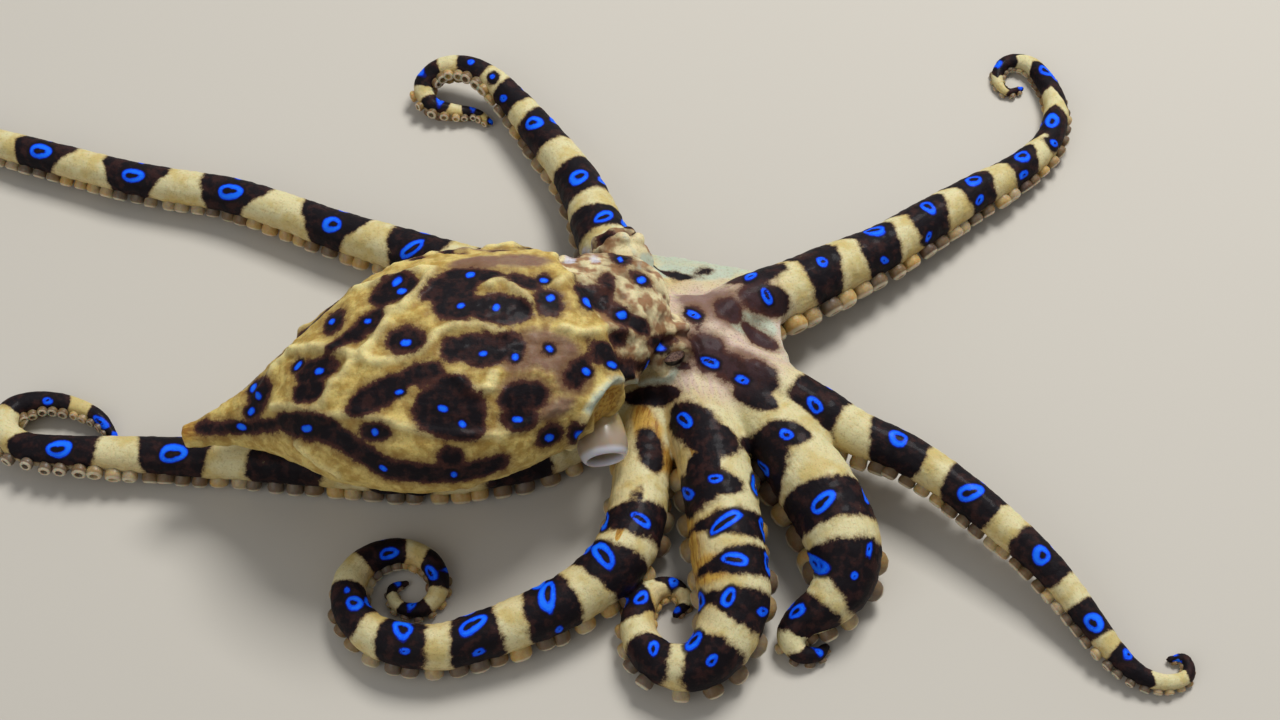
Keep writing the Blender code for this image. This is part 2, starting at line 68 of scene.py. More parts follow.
# The photo's camera: how far down it looks, how far away it is, and its lens. It looks along +Y.
ELEVATION = math.radians(55)
DISTANCE = 250.0
LENS = 70.0
SENSOR = 36.0
PHOTO_WIDTH, PHOTO_HEIGHT = 1280, 720
EYE_POINT = np.array([0.0, -DISTANCE * math.cos(ELEVATION), DISTANCE * math.sin(ELEVATION)])
SCREEN_RIGHT = np.array([1.0, 0.0, 0.0])
SCREEN_UP = np.array([0.0, math.sin(ELEVATION), math.cos(ELEVATION)])
LOOK = np.array([0.0, math.cos(ELEVATION), -math.sin(ELEVATION)])

# Arms: x, y, lift and radius along each, from the crown to the tip. The lift is added to the height of a
# resting arm's middle line, which is REST_HEIGHT radii.
REST_HEIGHT = 1.2
ROUTES = {
    "left_arm_1": [
        (4.5, -3.0, 2.6, 3.2), (10.4, 1.8, 2.4, 3.2), (14.9, 4.6, 1.9, 3.0), (19.6, 7.8, 1.3, 2.8),
        (24.4, 10.9, 0.9, 2.5), (29.5, 14.8, 0.8, 2.3), (34.7, 18.9, 0.6, 2.0), (39.8, 22.8, 0.4, 1.7),
        (43.2, 26.8, 0.2, 1.5), (44.6, 31.6, 0.1, 1.3), (43.9, 35.8, 0.0, 1.1), (42.2, 38.6, 0.0, 0.95),
        (40.0, 38.9, 0.0, 0.8), (38.8, 37.0, 0.0, 0.65), (39.7, 35.0, 0.0, 0.5), (41.4, 35.6, 0.0, 0.35),
    ],
    "right_arm_1": [
        (4.5, -3.5, 2.7, 3.2), (12.6, -8.3, 3.0, 3.1), (17.2, -10.7, 2.9, 2.7), (21.0, -12.7, 2.9, 2.25),
        (24.8, -14.4, 2.9, 2.05), (28.0, -16.6, 2.8, 1.95), (31.1, -19.2, 2.5, 1.9),
        (34.5, -22.5, 2.2, 1.8), (37.5, -25.6, 1.8, 1.65), (40.0, -28.8, 1.2, 1.5),
        (42.0, -31.8, 0.7, 1.35), (43.9, -34.4, 0.3, 1.15), (46.0, -36.2, 0.0, 0.95),
        (48.4, -36.8, 0.0, 0.8), (50.4, -35.9, 0.0, 0.65), (50.3, -34.1, 0.0, 0.5),
        (48.9, -34.1, 0.0, 0.35),
    ],
    "right_arm_2": [
        (4.4, -4.0, 2.6, 3.2), (10.8, -9.6, 2.4, 3.2), (13.8, -13.8, 1.9, 3.4), (16.2, -17.9, 1.2, 3.7),
        (18.1, -21.6, 0.7, 3.7), (19.1, -25.0, 0.5, 3.5), (18.8, -28.0, 0.3, 2.9), (17.0, -30.0, 0.2, 2.3),
        (15.0, -31.0, 0.1, 1.75), (13.9, -32.5, 0.0, 1.3), (14.8, -33.9, 0.0, 0.95),
        (16.4, -33.8, 0.0, 0.7), (17.2, -32.9, 0.0, 0.45),
    ],
    "right_arm_3": [
        (4.2, -4.4, 2.4, 3.2), (6.2, -12.8, 2.1, 3.4), (7.1, -17.2, 1.9, 3.5), (7.85, -21.9, 1.4, 3.5),
        (8.3, -26.2, 0.8, 3.55), (8.7, -30.1, 0.5, 3.35), (7.6, -34.0, 0.3, 2.9), (5.2, -36.2, 0.2, 2.4),
        (2.2, -35.8, 0.1, 2.1), (0.2, -33.4, 0.1, 1.8), (-0.2, -30.3, 0.0, 1.55), (1.1, -27.6, 0.0, 1.25),
        (3.2, -26.9, 0.0, 0.95), (4.3, -28.2, 0.0, 0.7), (3.4, -29.4, 0.0, 0.45),
    ],
    "right_arm_4": [
        (3.0, -4.4, 1.5, 2.9), (1.1, -11.0, 1.0, 2.8), (0.1, -17.0, 0.7, 2.75), (-0.5, -22.0, 0.6, 2.85),
        (-2.1, -25.7, 0.5, 2.9), (-5.5, -28.8, 0.4, 2.6), (-8.8, -30.8, 0.4, 2.5), (-11.9, -32.1, 0.3, 2.4),
        (-15.1, -33.3, 0.3, 2.3), (-18.3, -34.1, 0.2, 2.2), (-21.6, -33.9, 0.2, 2.1),
        (-24.8, -32.4, 0.1, 1.9), (-26.9, -29.7, 0.1, 1.75), (-27.0, -26.3, 0.0, 1.6),
        (-24.9, -23.8, 0.0, 1.4), (-22.0, -23.2, 0.0, 1.25), (-19.5, -24.7, 0.0, 1.1),
        (-18.9, -27.3, 0.0, 0.95), (-20.5, -29.2, 0.0, 0.8), (-22.7, -28.6, 0.0, 0.65),
        (-23.3, -26.7, 0.0, 0.5), (-22.0, -26.0, 0.0, 0.35),
    ],
    "left_arm_4": [
        (3.0, -4.0, 1.3, 2.9), (-3.0, -9.2, 0.6, 2.6), (-9.2, -12.9, 0.1, 2.5), (-15.3, -14.4, 0.0, 2.5),
        (-22.6, -14.8, 0.0, 2.4), (-29.7, -14.4, 0.2, 2.3), (-37.5, -13.7, 0.2, 2.1),
        (-44.8, -13.2, 0.2, 1.95), (-50.7, -12.9, 0.2, 1.85), (-56.1, -12.6, 0.2, 1.75),
        (-59.9, -11.8, 0.1, 1.6), (-62.1, -9.7, 0.1, 1.45), (-61.6, -7.1, 0.0, 1.3),
        (-59.1, -6.1, 0.0, 1.15), (-56.0, -6.4, 0.0, 1.0), (-53.2, -7.7, 0.0, 0.8), (-51.6, -9.6, 0.0, 0.5),
    ],
    "left_arm_3": [
        (3.2, -2.4, 1.6, 3.0), (-3.4, 3.2, 1.1, 2.9), (-10.0, 5.6, 0.8, 2.8), (-16.1, 8.0, 0.6, 2.6),
        (-23.1, 10.8, 0.6, 2.35), (-31.5, 14.2, 0.6, 2.1), (-36.6, 16.5, 0.6, 2.0), (-42.4, 18.8, 0.6, 1.9),
        (-47.9, 20.1, 0.5, 1.85), (-53.1, 21.3, 0.5, 1.8), (-58.2, 23.0, 0.4, 1.75),
        (-63.1, 24.6, 0.4, 1.7), (-67.8, 26.3, 0.3, 1.6), (-72.6, 28.0, 0.2, 1.45),
        (-77.2, 28.8, 0.1, 1.25), (-80.8, 28.0, 0.0, 1.05), (-82.3, 25.6, 0.0, 0.85),
        (-81.0, 23.4, 0.0, 0.65), (-79.0, 24.0, 0.0, 0.4),
    ],
    "left_arm_2": [
        (3.8, -2.6, 2.2, 3.1), (-1.0, 5.6, 2.0, 3.0), (-3.8, 11.6, 1.5, 2.8), (-5.1, 16.2, 1.1, 2.5),
        (-6.5, 20.1, 0.8, 2.3), (-8.8, 24.4, 0.6, 2.1), (-11.2, 28.2, 0.7, 1.9), (-13.5, 31.6, 1.0, 1.65),
        (-15.9, 34.3, 1.6, 1.45), (-18.8, 35.9, 1.9, 1.35), (-21.6, 36.1, 1.4, 1.25),
        (-23.3, 34.4, 0.7, 1.15), (-22.4, 32.4, 0.2, 1.0), (-20.0, 31.9, 0.0, 0.85),
        (-17.6, 31.7, 0.0, 0.65), (-16.1, 30.7, 0.0, 0.45),
    ],
}
ARM_NAMES = list(ROUTES)
# The way each arm's back faces, at its root and at its tip
LEANS = {
    "left_arm_1": ((-0.15, 0.3, 0.95), (-0.2, 0.2, 0.95)),
    "left_arm_2": ((0.0, 0.0, 1.0), (0.0, 0.8, 0.6)),
    "left_arm_3": ((0.0, 0.0, 1.0), (0.0, 0.2, 0.98)),
    "left_arm_4": ((0.0, 0.0, 1.0), (0.0, 0.75, 0.65)),
    "right_arm_1": ((0.1, 0.2, 0.97), (0.3, 0.3, 0.9)),
    "right_arm_2": ((0.0, 0.0, 1.0), (0.0, 0.1, 1.0)),
    "right_arm_3": ((0.0, 0.0, 1.0), (0.1, 0.3, 0.95)),
    "right_arm_4": ((0.0, 0.0, 1.0), (0.0, 0.2, 0.98)),
}
# Where along an arm it turns from the one to the other, as shares of its length
LEAN_FROM, LEAN_TO = 0.55, 0.75
# An arm's depth under its middle line, in radii
BELLY = 0.86

# Webs between neighbouring arms: each arm's reach and how deep the free edge is cut
WEBS = [
    ("left_arm_2", "left_arm_1", 14.0, 14.4, 0.0),
    ("left_arm_1", "right_arm_1", 13.4, 15.4, 0.22),
    ("right_arm_1", "right_arm_2", 14.0, 14.0, 0.20),
    ("right_arm_2", "right_arm_3", 14.0, 13.0, 0.25),
    ("right_arm_3", "right_arm_4", 12.5, 11.0, 0.25),
    ("right_arm_4", "left_arm_4", 10.0, 10.0, 0.35),
    ("left_arm_4", "left_arm_3", 9.0, 9.0, 0.35),
    ("left_arm_3", "left_arm_2", 10.0, 10.5, 0.30),
]
WEB_THICKNESS = 1.0
# How far a web is above its arms' middle lines, in radii
WEB_RISE = 0.35
CROWN_MIDDLE = (4.6, -3.6, 6.6)
CROWN_SIZE = (6.6, 6.4, 3.6)

# Mantle and head sections: x, y, z, half width, height over and depth under the middle
MANTLE = [
    (-42.9, -14.6, 8.2, 0.8, 0.9, 0.8), (-41.2, -14.2, 8.4, 1.3, 1.3, 1.2),
    (-38.0, -13.4, 8.9, 2.3, 2.1, 1.9), (-33.3, -12.8, 10.2, 5.2, 4.0, 3.3),
    (-27.6, -12.4, 12.0, 9.4, 6.3, 5.0), (-21.2, -11.4, 13.2, 12.0, 7.6, 6.2),
    (-15.3, -9.7, 13.4, 12.0, 7.7, 6.4), (-10.0, -7.2, 13.0, 10.8, 7.2, 6.0),
    (-6.3, -5.0, 12.5, 9.4, 6.3, 5.4),
]
HEAD = [
    (-9.0, -6.6, 12.6, 8.6, 6.1, 4.6), (-6.3, -5.0, 12.4, 8.1, 5.7, 4.6), (-3.9, -3.4, 12.0, 7.1, 5.1, 4.8),
    (-2.2, -2.1, 11.6, 6.4, 4.7, 5.0), (-0.8, -1.1, 11.2, 5.6, 4.2, 5.0), (0.3, -0.4, 10.7, 4.4, 3.5, 4.6),
    (1.0, 0.0, 10.2, 2.4, 2.2, 3.2),
]
EYE_RADIUS = 1.5
# The swelling that carries each eye: its radius and how far its middle is behind the eye's
EYE_BULGE = 2.9
EYE_SUNK = 1.9
# How far above level the eyes look, in degrees
EYE_LIFT = 20

# The pupil's slit in shares of the eye's radius: half its length, half its height, and how far down it is
PUPIL_LONG, PUPIL_HALF, PUPIL_LOW = 0.62, 0.2, 0.26

# Eyelids: a flat ring of skin round each eye. Its half width, half height, thickness and place in front
LID_WIDE, LID_TALL = 1.85, 1.25
LID_THICKNESS = 0.56
LID_FORWARD = 0.85
# The rim of an eyelid and the crease round it: height, half width, and place past the lid's middle line
LID_RIM = (0.20, 0.32, 0.0)
LID_CREASE = (-0.26, 0.26, 0.85)
# Lumps of skin round each eye: level place past the eye's middle, sideways place, height and radius
BROW_LUMPS = [
    (-0.7, 0.9, 2.2, 0.75), (-0.9, -0.3, 2.4, 0.85), (-1.0, -1.7, 1.9, 0.8), (-0.6, 2.3, 1.1, 0.7),
    (-1.2, 1.9, 2.1, 0.7),
]

# The funnel's ends, and its profile: share of its length and radius, from the root over the lip to the inside
FUNNEL_ROOT = (-4.4, -10.6, 9.3)
FUNNEL_MOUTH = (-3.4, -16.2, 7.9)
FUNNEL_SIDES = 40
FUNNEL_PROFILE = [
    (-0.2, 1.2), (0.0, 1.5), (0.2, 1.8), (0.4, 2.08), (0.6, 2.3), (0.8, 2.42), (0.95, 2.40), (1.06, 2.22),
    (1.12, 1.95), (1.13, 1.75), (1.08, 1.65), (0.98, 1.75), (0.8, 1.9), (0.5, 1.6), (0.3, 1.2), (0.2, 0.6),
    (0.18, 0.2),
]

# How far from an arm's root its suckers start
SUCKERS_FROM = 4.0
# The way from a sucker to the next of its row: its least, and the share of the arm's radius that is added
SUCKER_PITCH, SUCKER_PITCH_SHARE = 0.5, 0.62
# A cup's radius as a share of that way
SUCKER_CUP = 0.48
# Suckers' slant from straight down, and how far from an arm's middle line they start and end, in its radii
SUCKER_TILT = math.radians(45)
SUCKER_ROOT, SUCKER_TOP = 0.84, 1.42
SUCKER_SIDES = 20
# The least height of a sucker's points above the floor
SUCKER_CLEAR = 0.01
# A sucker's outline from its root to the middle of its cup: height in sucker heights, and radius in cup radii
SUCKER_OUTLINE = [
    (-0.5, 0.90), (0.0, 0.93), (0.25, 0.98), (0.45, 1.02), (0.62, 1.02), (0.76, 0.96), (0.87, 0.86),
    (0.95, 0.74), (0.98, 0.63), (0.96, 0.54), (0.88, 0.46), (0.76, 0.38), (0.66, 0.28), (0.50, 0.22),
    (0.45, 0.10),
]
# The first and last points of the outline that are on the pale rim
SUCKER_RIM_FROM, SUCKER_RIM_TO = 6, 9

# The skin's mesh: the size of its faces, and the rounds of smoothing all over and where its parts join
SKIN_VOXEL = 0.22
SKIN_SMOOTHING = 5
JOIN_SMOOTHING = 24
# How many neighbours wide the calm skin is where two arms meet
MEETING_ROUNDS = 12
# The sizes of the skin's lumps, its small lumps, the mantle's wrinkles and the arms' folds
LUMP_SIZE, SMALL_SIZE, WRINKLE_SIZE, FOLD_SIZE = 1.4, 0.55, 0.7, 0.75
# How the wrinkles are drawn out along the mantle, and the streaks of colour along the arms and the body
WRINKLE_STREAK = (0.35, 1.3, 1.3)
ARM_STREAK = 0.22
BODY_STREAK = (ARM_STREAK, 1.0, 1.0)
# How far apart the arms are kept in the noise of their streaks
ARMS_APART = 40.0
# How far from the crown's middle the webs' pale skin starts, and over what length it comes in
PALE_WEB_FROM, PALE_WEB_FADE = 8.5, 3.0
# The arms' radius under which the edges of their dark bands get narrower
FULL_EDGE_RADIUS = 2.2
# The pink-white flesh on top of the crown: its middle and reach
PINK_PLACE = (7.5, -3.0)
PINK_REACH = 8.0
# Arms whose left side is golden
GOLDEN_ARMS = ("right_arm_3", "right_arm_4")

# The ring on each arm's bands as the photo shows it, from the root outwards: its middle, its half length and
# half width in millimetres, and the turn of its length above level, in degrees
BAND_RINGS = {
    "left_arm_1": [
        (823, 262, 0.65, 0.5, 0), (875, 230, 1.05, 0.5, 4), (927, 206, 0.85, 0.6, -25),
        (973, 180, 0.9, 0.55, 15), (1023, 156, 0.9, 0.6, 20), (1052, 120, 0.85, 0.8, 50),
        (1045, 71, 0.8, 0.6, -30), (1014, 52, 0.6, 0.4, 80),
    ],
    "left_arm_2": [
        (604, 216, 1.05, 0.6, 20), (578, 177, 1.1, 0.8, 20), (533, 122, 0.95, 0.8, 0),
        (503, 98, 0.45, 0.4, 0), (471, 62, 0.4, 0.35, 0), (439, 56, 0.5, 0.4, 0),
    ],
    "left_arm_3": [
        (413, 249, 1.4, 0.65, 30), (332, 224, 1.1, 0.8, 0), (230, 191, 1.3, 0.9, 0),
        (132, 176, 1.2, 0.78, -8), (39, 150, 1.2, 0.85, -15),
    ],
    "left_arm_4": [
        (173, 453, 1.35, 0.95, 0), (59, 449, 1.25, 0.9, 0), (48, 401, 0.5, 0.4, 0),
        (101, 423, 0.9, 0.45, -40),
    ],
    "right_arm_1": [
        (816, 406, 1.0, 0.6, -55), (900, 438, 1.0, 0.72, -12), (970, 492, 1.25, 0.85, 12),
        (1042, 554, 0.95, 0.85, -50), (1094, 623, 1.0, 0.85, -60), (1129, 655, 0.55, 0.45, 0),
        (1176, 662, 0.4, 0.3, 0),
    ],
    "right_arm_2": [(823, 502, 1.3, 0.8, 42), (816, 564, 1.0, 0.75, -10), (788, 590, 0.6, 0.45, 30)],
    "right_arm_3": [
        (687, 493, 0.75, 0.5, -40), (725, 521, 1.6, 0.65, 32), (736, 560, 1.25, 0.65, -10),
        (729, 597, 0.95, 0.65, 55), (694, 640, 0.9, 0.55, 15), (653, 648, 0.65, 0.55, 90),
        (642, 598, 0.75, 0.55, 25), (666, 575, 0.55, 0.45, 0),
    ],
    "right_arm_4": [
        (642, 520, 1.0, 0.55, -25), (604, 555, 1.5, 0.75, -50), (547, 594, 1.35, 0.8, 85),
        (472, 624, 1.35, 0.7, 30), (403, 628, 1.05, 0.7, -30), (354, 602, 0.8, 0.7, 0),
        (388, 554, 0.9, 0.6, 20), (431, 573, 0.8, 0.5, -60),
    ],
}
# The thinnest and thickest line of a ring, and what share of its half width the line takes between them
RING_LINE = (0.4, 0.62)
RING_FILL = 0.72
# A ring's half length where the photo gives none: share of the arm's radius, what is added, and its limits
RING_SHARE, RING_PLUS = 0.42, 0.12
RING_LIMITS = (0.25, 1.1)
# How far the dark skin round a ring goes past it
RING_DARK = 0.35
# Smaller rings low on the arms' sides, given in the same way
SIDE_RINGS = {
    "left_arm_1": [
        (885, 261, 0.5, 0.35, -45), (929, 237, 0.5, 0.3, 70), (979, 201, 0.6, 0.4, 60),
        (1024, 174, 0.6, 0.4, 30), (1055, 143, 0.5, 0.4, 0), (1055, 78, 0.5, 0.4, 0),
    ],
    "left_arm_2": [(461, 84, 0.95, 0.4, -40), (493, 77, 0.3, 0.3, 0)],
    "left_arm_4": [(59, 475, 0.5, 0.35, 0)],
    "right_arm_2": [(854, 577, 0.4, 0.4, 0), (869, 550, 0.6, 0.3, 80)],
    "right_arm_3": [
        (714, 478, 0.7, 0.45, 0), (763, 611, 0.5, 0.45, 0), (711, 661, 0.65, 0.5, 45),
        (662, 633, 0.6, 0.3, -60),
    ],
    "right_arm_4": [
        (559, 630, 0.4, 0.4, 0), (478, 652, 0.6, 0.35, 20), (404, 652, 0.5, 0.35, 0),
        (369, 594, 0.8, 0.7, 60), (407, 598, 0.6, 0.5, 0), (419, 578, 0.8, 0.4, 60),
        (346, 590, 0.3, 0.3, 0),
    ],
}
# How an arm's bands widen or narrow towards two sides, as shares of half a band: the first side's length
# towards the root and towards the tip, then the other side's. The first side is the far one where BAND_SIDES
# doesn't say.
BAND_SHAPES = {
    "left_arm_1": (1.1, -0.5, 0.1, -0.3),
    "left_arm_3": (0.1, 0.1, -0.5, -0.3),
    "left_arm_4": (0.1, 0.0, -0.1, 0.1),
    "right_arm_1": (0.0, 0.15, -0.1, 0.1),
    "right_arm_2": (-0.2, 0.1, 0.2, 0.2),
    "right_arm_3": (-0.95, -0.9, 0.2, 0.1),
}
BAND_SIDES = {"right_arm_3": 1}
# The angle from an arm's back where its dark bands end
BAND_EDGE = 2.15
# Arms with more bands under the body than the photo shows, and how far from the root these start
HIDDEN_BANDS = ("left_arm_3", "left_arm_4")
HIDDEN_BANDS_FROM = 9.0
# Arms whose first band is drawn as patches
PATCHED_FIRST_BANDS = ("right_arm_3",)
# Half a band's length as a share of the way to the next band's middle
BAND_SHARE = 0.31
# Dark patches of the mantle, head and crown in the photo, and one painted shadow, the shade under the head at
# (654, 396): middle, half length and half width in millimetres, and the turn of the length above level, in
# degrees
DARK_PATCHES_AND_SHADE = [
    (394, 290, 2.4, 1.3, 10), (334, 322, 1.1, 1.2, 30), (367, 324, 2.0, 1.1, 30), (341, 343, 1.7, 0.7, 30),
    (406, 340, 1.9, 1.4, 0), (317, 370, 2.3, 1.15, 0), (308, 392, 1.7, 1.1, 0), (259, 393, 1.3, 1.7, 0),
    (251, 412, 1.1, 0.7, 0), (306, 425, 3.3, 1.2, 0), (375, 431, 1.6, 0.9, 0), (378, 394, 3.2, 1.3, 25),
    (452, 286, 2.6, 1.5, 20), (471, 275, 3.0, 0.7, 0), (522, 281, 2.0, 0.6, -12), (456, 304, 2.3, 1.6, 0),
    (438, 291, 1.8, 0.8, 20), (499, 309, 3.0, 1.5, 0), (549, 303, 1.4, 1.3, 0), (593, 299, 2.1, 1.0, -5),
    (622, 316, 1.5, 1.0, -20), (452, 350, 1.0, 1.2, 0), (480, 349, 2.6, 1.6, 0), (510, 344, 1.5, 1.2, 0),
    (422, 374, 2.0, 1.1, 12), (450, 389, 2.0, 1.3, 0), (450, 410, 3.4, 2.5, 0), (465, 430, 1.8, 1.1, 0),
    (525, 397, 2.3, 1.5, 10), (520, 418, 1.8, 1.2, 0), (550, 436, 1.4, 1.0, 0), (575, 431, 1.0, 0.8, 0),
    (451, 457, 1.3, 1.0, 0), (577, 374, 1.6, 1.1, 60), (614, 356, 2.0, 0.8, -10), (618, 338, 0.9, 0.8, 0),
    (620, 257, 1.2, 0.9, 0), (604, 238, 0.9, 0.7, 0), (631, 321, 2.4, 0.8, -15), (606, 283, 0.9, 1.1, 0),
    (658, 341, 1.1, 0.5, -20), (641, 279, 1.1, 0.6, -20), (728, 309, 1.5, 1.2, -30),
    (766, 299, 2.6, 1.6, -10), (756, 272, 3.0, 0.85, 10), (703, 271, 1.0, 0.25, 3),
    (674, 276, 2.6, 0.22, -8), (759, 339, 2.1, 0.7, -22), (708, 350, 1.9, 1.5, -20),
    (733, 368, 1.8, 1.4, -30), (754, 378, 2.2, 1.9, -25), (754, 398, 2.4, 0.8, -25),
    # (654, 396) is painted shade: the shadow under the head, drawn as a dark patch
    (654, 396, 3.0, 0.9, -5), (690, 421, 2.6, 1.7, -35), (711, 437, 2.6, 1.5, -10),
    (650, 449, 1.2, 2.0, 20), (784, 433, 2.4, 1.1, -10), (765, 470, 2.0, 2.8, 20), (748, 446, 1.2, 0.8, 0),
    (712, 481, 2.7, 1.0, -12), (688, 497, 1.2, 2.0, 10),
]
# Dark bands along the body: half width in millimetres and places
DARK_STROKES = [
    (0.7, [(200, 428), (240, 428), (275, 425)]),
    (1.1, [(285, 423), (330, 433), (350, 445), (384, 466)]),
    (1.15, [(384, 469), (425, 474), (456, 474), (497, 465)]),
    (0.5, [(583, 360), (600, 358), (640, 366), (684, 366)]),
]
# Pale purple-brown patches, given in the same way
MAUVE_PATCHES = [
    (549, 350, 3.4, 2.2, -10), (518, 356, 1.9, 1.9, 0), (574, 374, 2.2, 1.9, 60), (526, 394, 2.6, 1.8, 0),
    (556, 408, 2.0, 1.2, 20),
    (712, 302, 3.8, 1.8, -15), (704, 346, 2.6, 1.8, 0), (500, 262, 5.0, 0.8, 5), (745, 366, 2.6, 1.8, -35),
]
# Raised pale ridges between the mantle's patches, with their heights in millimetres
RIDGES = [
    (0.55, [(432, 271), (425, 285), (401, 311), (386, 313), (384, 328), (367, 351), (360, 357)]),
    (0.45, [(360, 357), (339, 351), (311, 349), (292, 352), (274, 371), (260, 392)]),
    (0.45, [(363, 357), (380, 363), (401, 359), (422, 351), (435, 335), (453, 326), (477, 324), (504, 333)]),
    (0.40, [(274, 406), (298, 407), (325, 416), (353, 413), (374, 418), (401, 426), (436, 433), (470, 436)]),
    (0.35, [(470, 436), (504, 433), (532, 423), (556, 405)]),
    (0.35, [(353, 361), (343, 376), (332, 382), (325, 402), (315, 409)]),
    (0.55, [(456, 378), (466, 388), (477, 392), (491, 387), (494, 375)]),
    (0.50, [(489, 287), (496, 280), (508, 282), (515, 292), (525, 295), (528, 306)]),
    (0.40, [(298, 443), (339, 471), (380, 490), (422, 494), (470, 489), (494, 480)]),
    (0.30, [(504, 392), (501, 416), (497, 437)]),
    (0.50, [(353, 292), (375, 286), (400, 276), (432, 271)]),
    (0.60, [(560, 452), (572, 437), (580, 420), (588, 405), (598, 391), (610, 380), (625, 374),
            (642, 382), (668, 378)]),
    (0.45, [(560, 330), (585, 335), (610, 330), (630, 333)]),
    (0.40, [(555, 285), (575, 278), (590, 282), (605, 290)]),
]
RIDGE_WIDTH = 0.5
RIDGE_GAIN = 1.35
# Rounds of smoothing of all the markings on the body
SOFT_ROUNDS = 4
# How deep the golden flesh lies, and the least x at which it does
SUNKEN = 0.5
SUNKEN_FROM = -20
# Golden flesh between the bases of the front arms, given as the patches are
GOLD_PATCHES = [
    (611, 402, 1.3, 1.6, -30), (603, 420, 0.9, 1.2, 0), (188, 431, 1.4, 0.9, 20), (646, 425, 1.2, 2.4, 25),
    (664, 460, 1.6, 1.2, -10), (690, 545, 1.2, 2.6, 15), (705, 570, 1.6, 1.4, 0),
]
# Pale green-white skin, given as the dark bands are: along the mantle's free edge, behind the far eye, and on
# the near and the far web
MINT_STROKES = [
    (0.4, [(586, 408), (594, 396), (603, 388), (614, 379), (628, 379), (645, 384), (668, 380), (681, 366)]),
    (0.15, [(612, 226), (625, 236), (635, 252), (639, 268)]),
    (1.2, [(740, 322), (764, 328), (786, 336), (805, 350), (820, 371)]),
    (0.9, [(646, 262), (668, 270), (700, 274), (724, 272)]),
]
# A pale purple star behind the far eye
STAR_STROKES = [(0.45, [(570, 262), (583, 252), (592, 243)]), (0.4, [(575, 248), (583, 252), (594, 262)])]
# Blue dots on the body: their least and greatest radius, that of the dark skin round each, and their places
DOT_RADII = (0.30, 0.44)
DOT_DARK = 0.65
SPOTS = [
    (471, 275), (397, 282), (402, 291), (332, 322), (368, 321), (460, 306), (496, 308), (545, 281),
    (550, 297), (588, 303), (622, 316), (407, 342), (483, 353), (515, 357), (550, 350), (319, 371),
    (298, 366), (398, 392), (442, 409), (463, 424), (517, 420), (254, 387), (259, 397), (251, 412),
    (241, 427), (307, 428), (375, 432), (383, 468), (455, 475), (550, 437), (577, 431), (586, 371),
    (612, 364), (647, 365), (660, 347), (620, 259), (641, 280),
]
# Blue rings on the crown, given as the arms' are
CROWN_RINGS = [
    (693, 315, 0.65, 0.35, -25), (709, 362, 0.9, 0.5, -20), (743, 380, 0.7, 0.38, -25),
    (751, 276, 0.65, 0.4, 15), (766, 296, 0.85, 0.5, -60), (684, 419, 0.95, 0.6, -50),
    (787, 434, 0.75, 0.5, -30), (763, 467, 0.8, 0.5, 10),
]


UP = (0, 0, 1)


def unit(vector):
    """The vector at length 1."""
    return vector / np.linalg.norm(vector)


def units(rows):
    """The vector in each row at length 1."""
    return rows / np.linalg.norm(rows, axis=1)[:, None]


def circle(count):
    """Even angles round a circle."""
    return np.linspace(0, math.tau, count, endpoint=False)


def blend(t, low, high, first, second):
    """From the first value where t is low to the second where it is high."""
    return (high - t) / (high - low) * first + (t - low) / (high - low) * second


def catmull_rom(points, step):
    """A smooth line through the points, resampled at an even step of length along x, y and z."""
    samples = 24
    points = np.array(points, float)
    points = np.vstack([2 * points[0] - points[1], points, 2 * points[-1] - points[-2]])
    line = []
    for a, b, c, d in zip(points, points[1:], points[2:], points[3:]):
        spans = [math.sqrt(max(np.linalg.norm((q - p)[:3]), 1e-6)) for p, q in ((a, b), (b, c), (c, d))]
        t0, t1, t2, t3 = np.cumsum([0.0, *spans])
        t = np.linspace(t1, t2, samples, endpoint=False)[:, None]
        near, middle, far = blend(t, t0, t1, a, b), blend(t, t1, t2, b, c), blend(t, t2, t3, c, d)
        line.append(blend(t, t1, t2, blend(t, t0, t2, near, middle), blend(t, t1, t3, middle, far)))
    line = np.vstack([*line, points[-2][None]])
    along = np.concatenate([[0], np.cumsum(np.linalg.norm(np.diff(line[:, :3], axis=0), axis=1))])
    even = np.linspace(0, along[-1], max(2, int(along[-1] / step)))
    return even, np.stack([np.interp(even, along, line[:, i]) for i in range(line.shape[1])], axis=1)


def point_tree(points):
    """A tree that finds the nearest of the points."""
    tree = KDTree(len(points))
    for i, point in enumerate(points):
        tree.insert(point, i)
    tree.balance()
    return tree


class Arm:
    """An arm's centre line, radius and facing, by distance along it."""

    STEP = 0.1

    def __init__(self, name):
        self.name = name
        route = [(x, y, REST_HEIGHT * r + lift, r) for x, y, lift, r in ROUTES[name]]
        self.along, line = catmull_rom(route, self.STEP)
        self.centre, self.radii = line[:, :3], line[:, 3]
        self.length = self.along[-1]
        share = np.clip((self.along / self.length - LEAN_FROM) / (LEAN_TO - LEAN_FROM), 0, 1)[:, None]
        share = share * share * (3 - 2 * share)
        root, tip = (np.array(v, float) for v in LEANS[name])
        self.ahead = units(np.gradient(self.centre, axis=0))
        lean = root * (1 - share) + tip * share
        self.back = units(lean - (lean * self.ahead).sum(1)[:, None] * self.ahead)
        self.side = np.cross(self.ahead, self.back)

    def at(self, s):
        """Centre, radius, ahead, back and side at s millimetres along."""
        i = int(round(min(max(s, 0), self.length) / self.length * (len(self.along) - 1)))
        return self.centre[i], self.radii[i], self.ahead[i], self.back[i], self.side[i]

    def radius(self, s):
        return self.at(s)[1]

    def far_side(self, s):
        """1 where the arm's positive side faces away from the camera, otherwise -1."""
        return 1 if self.at(s)[4] @ LOOK > 0 else -1


# Meshes in millimetres


def link(obj):
    bpy.context.scene.collection.objects.link(obj)
    return obj


def add_mesh(name, points, faces, moved=True):
    """A mesh object, whose points go from design millimetres to the model's metres if moved is true."""
    points = np.asarray(points, float)
    if moved:
        points = points * MM + SHIFT
    mesh = bpy.data.meshes.new(name)
    mesh.from_pydata(points.tolist(), [], [tuple(f) for f in faces])
    mesh.update()
    return link(bpy.data.objects.new(name, mesh))


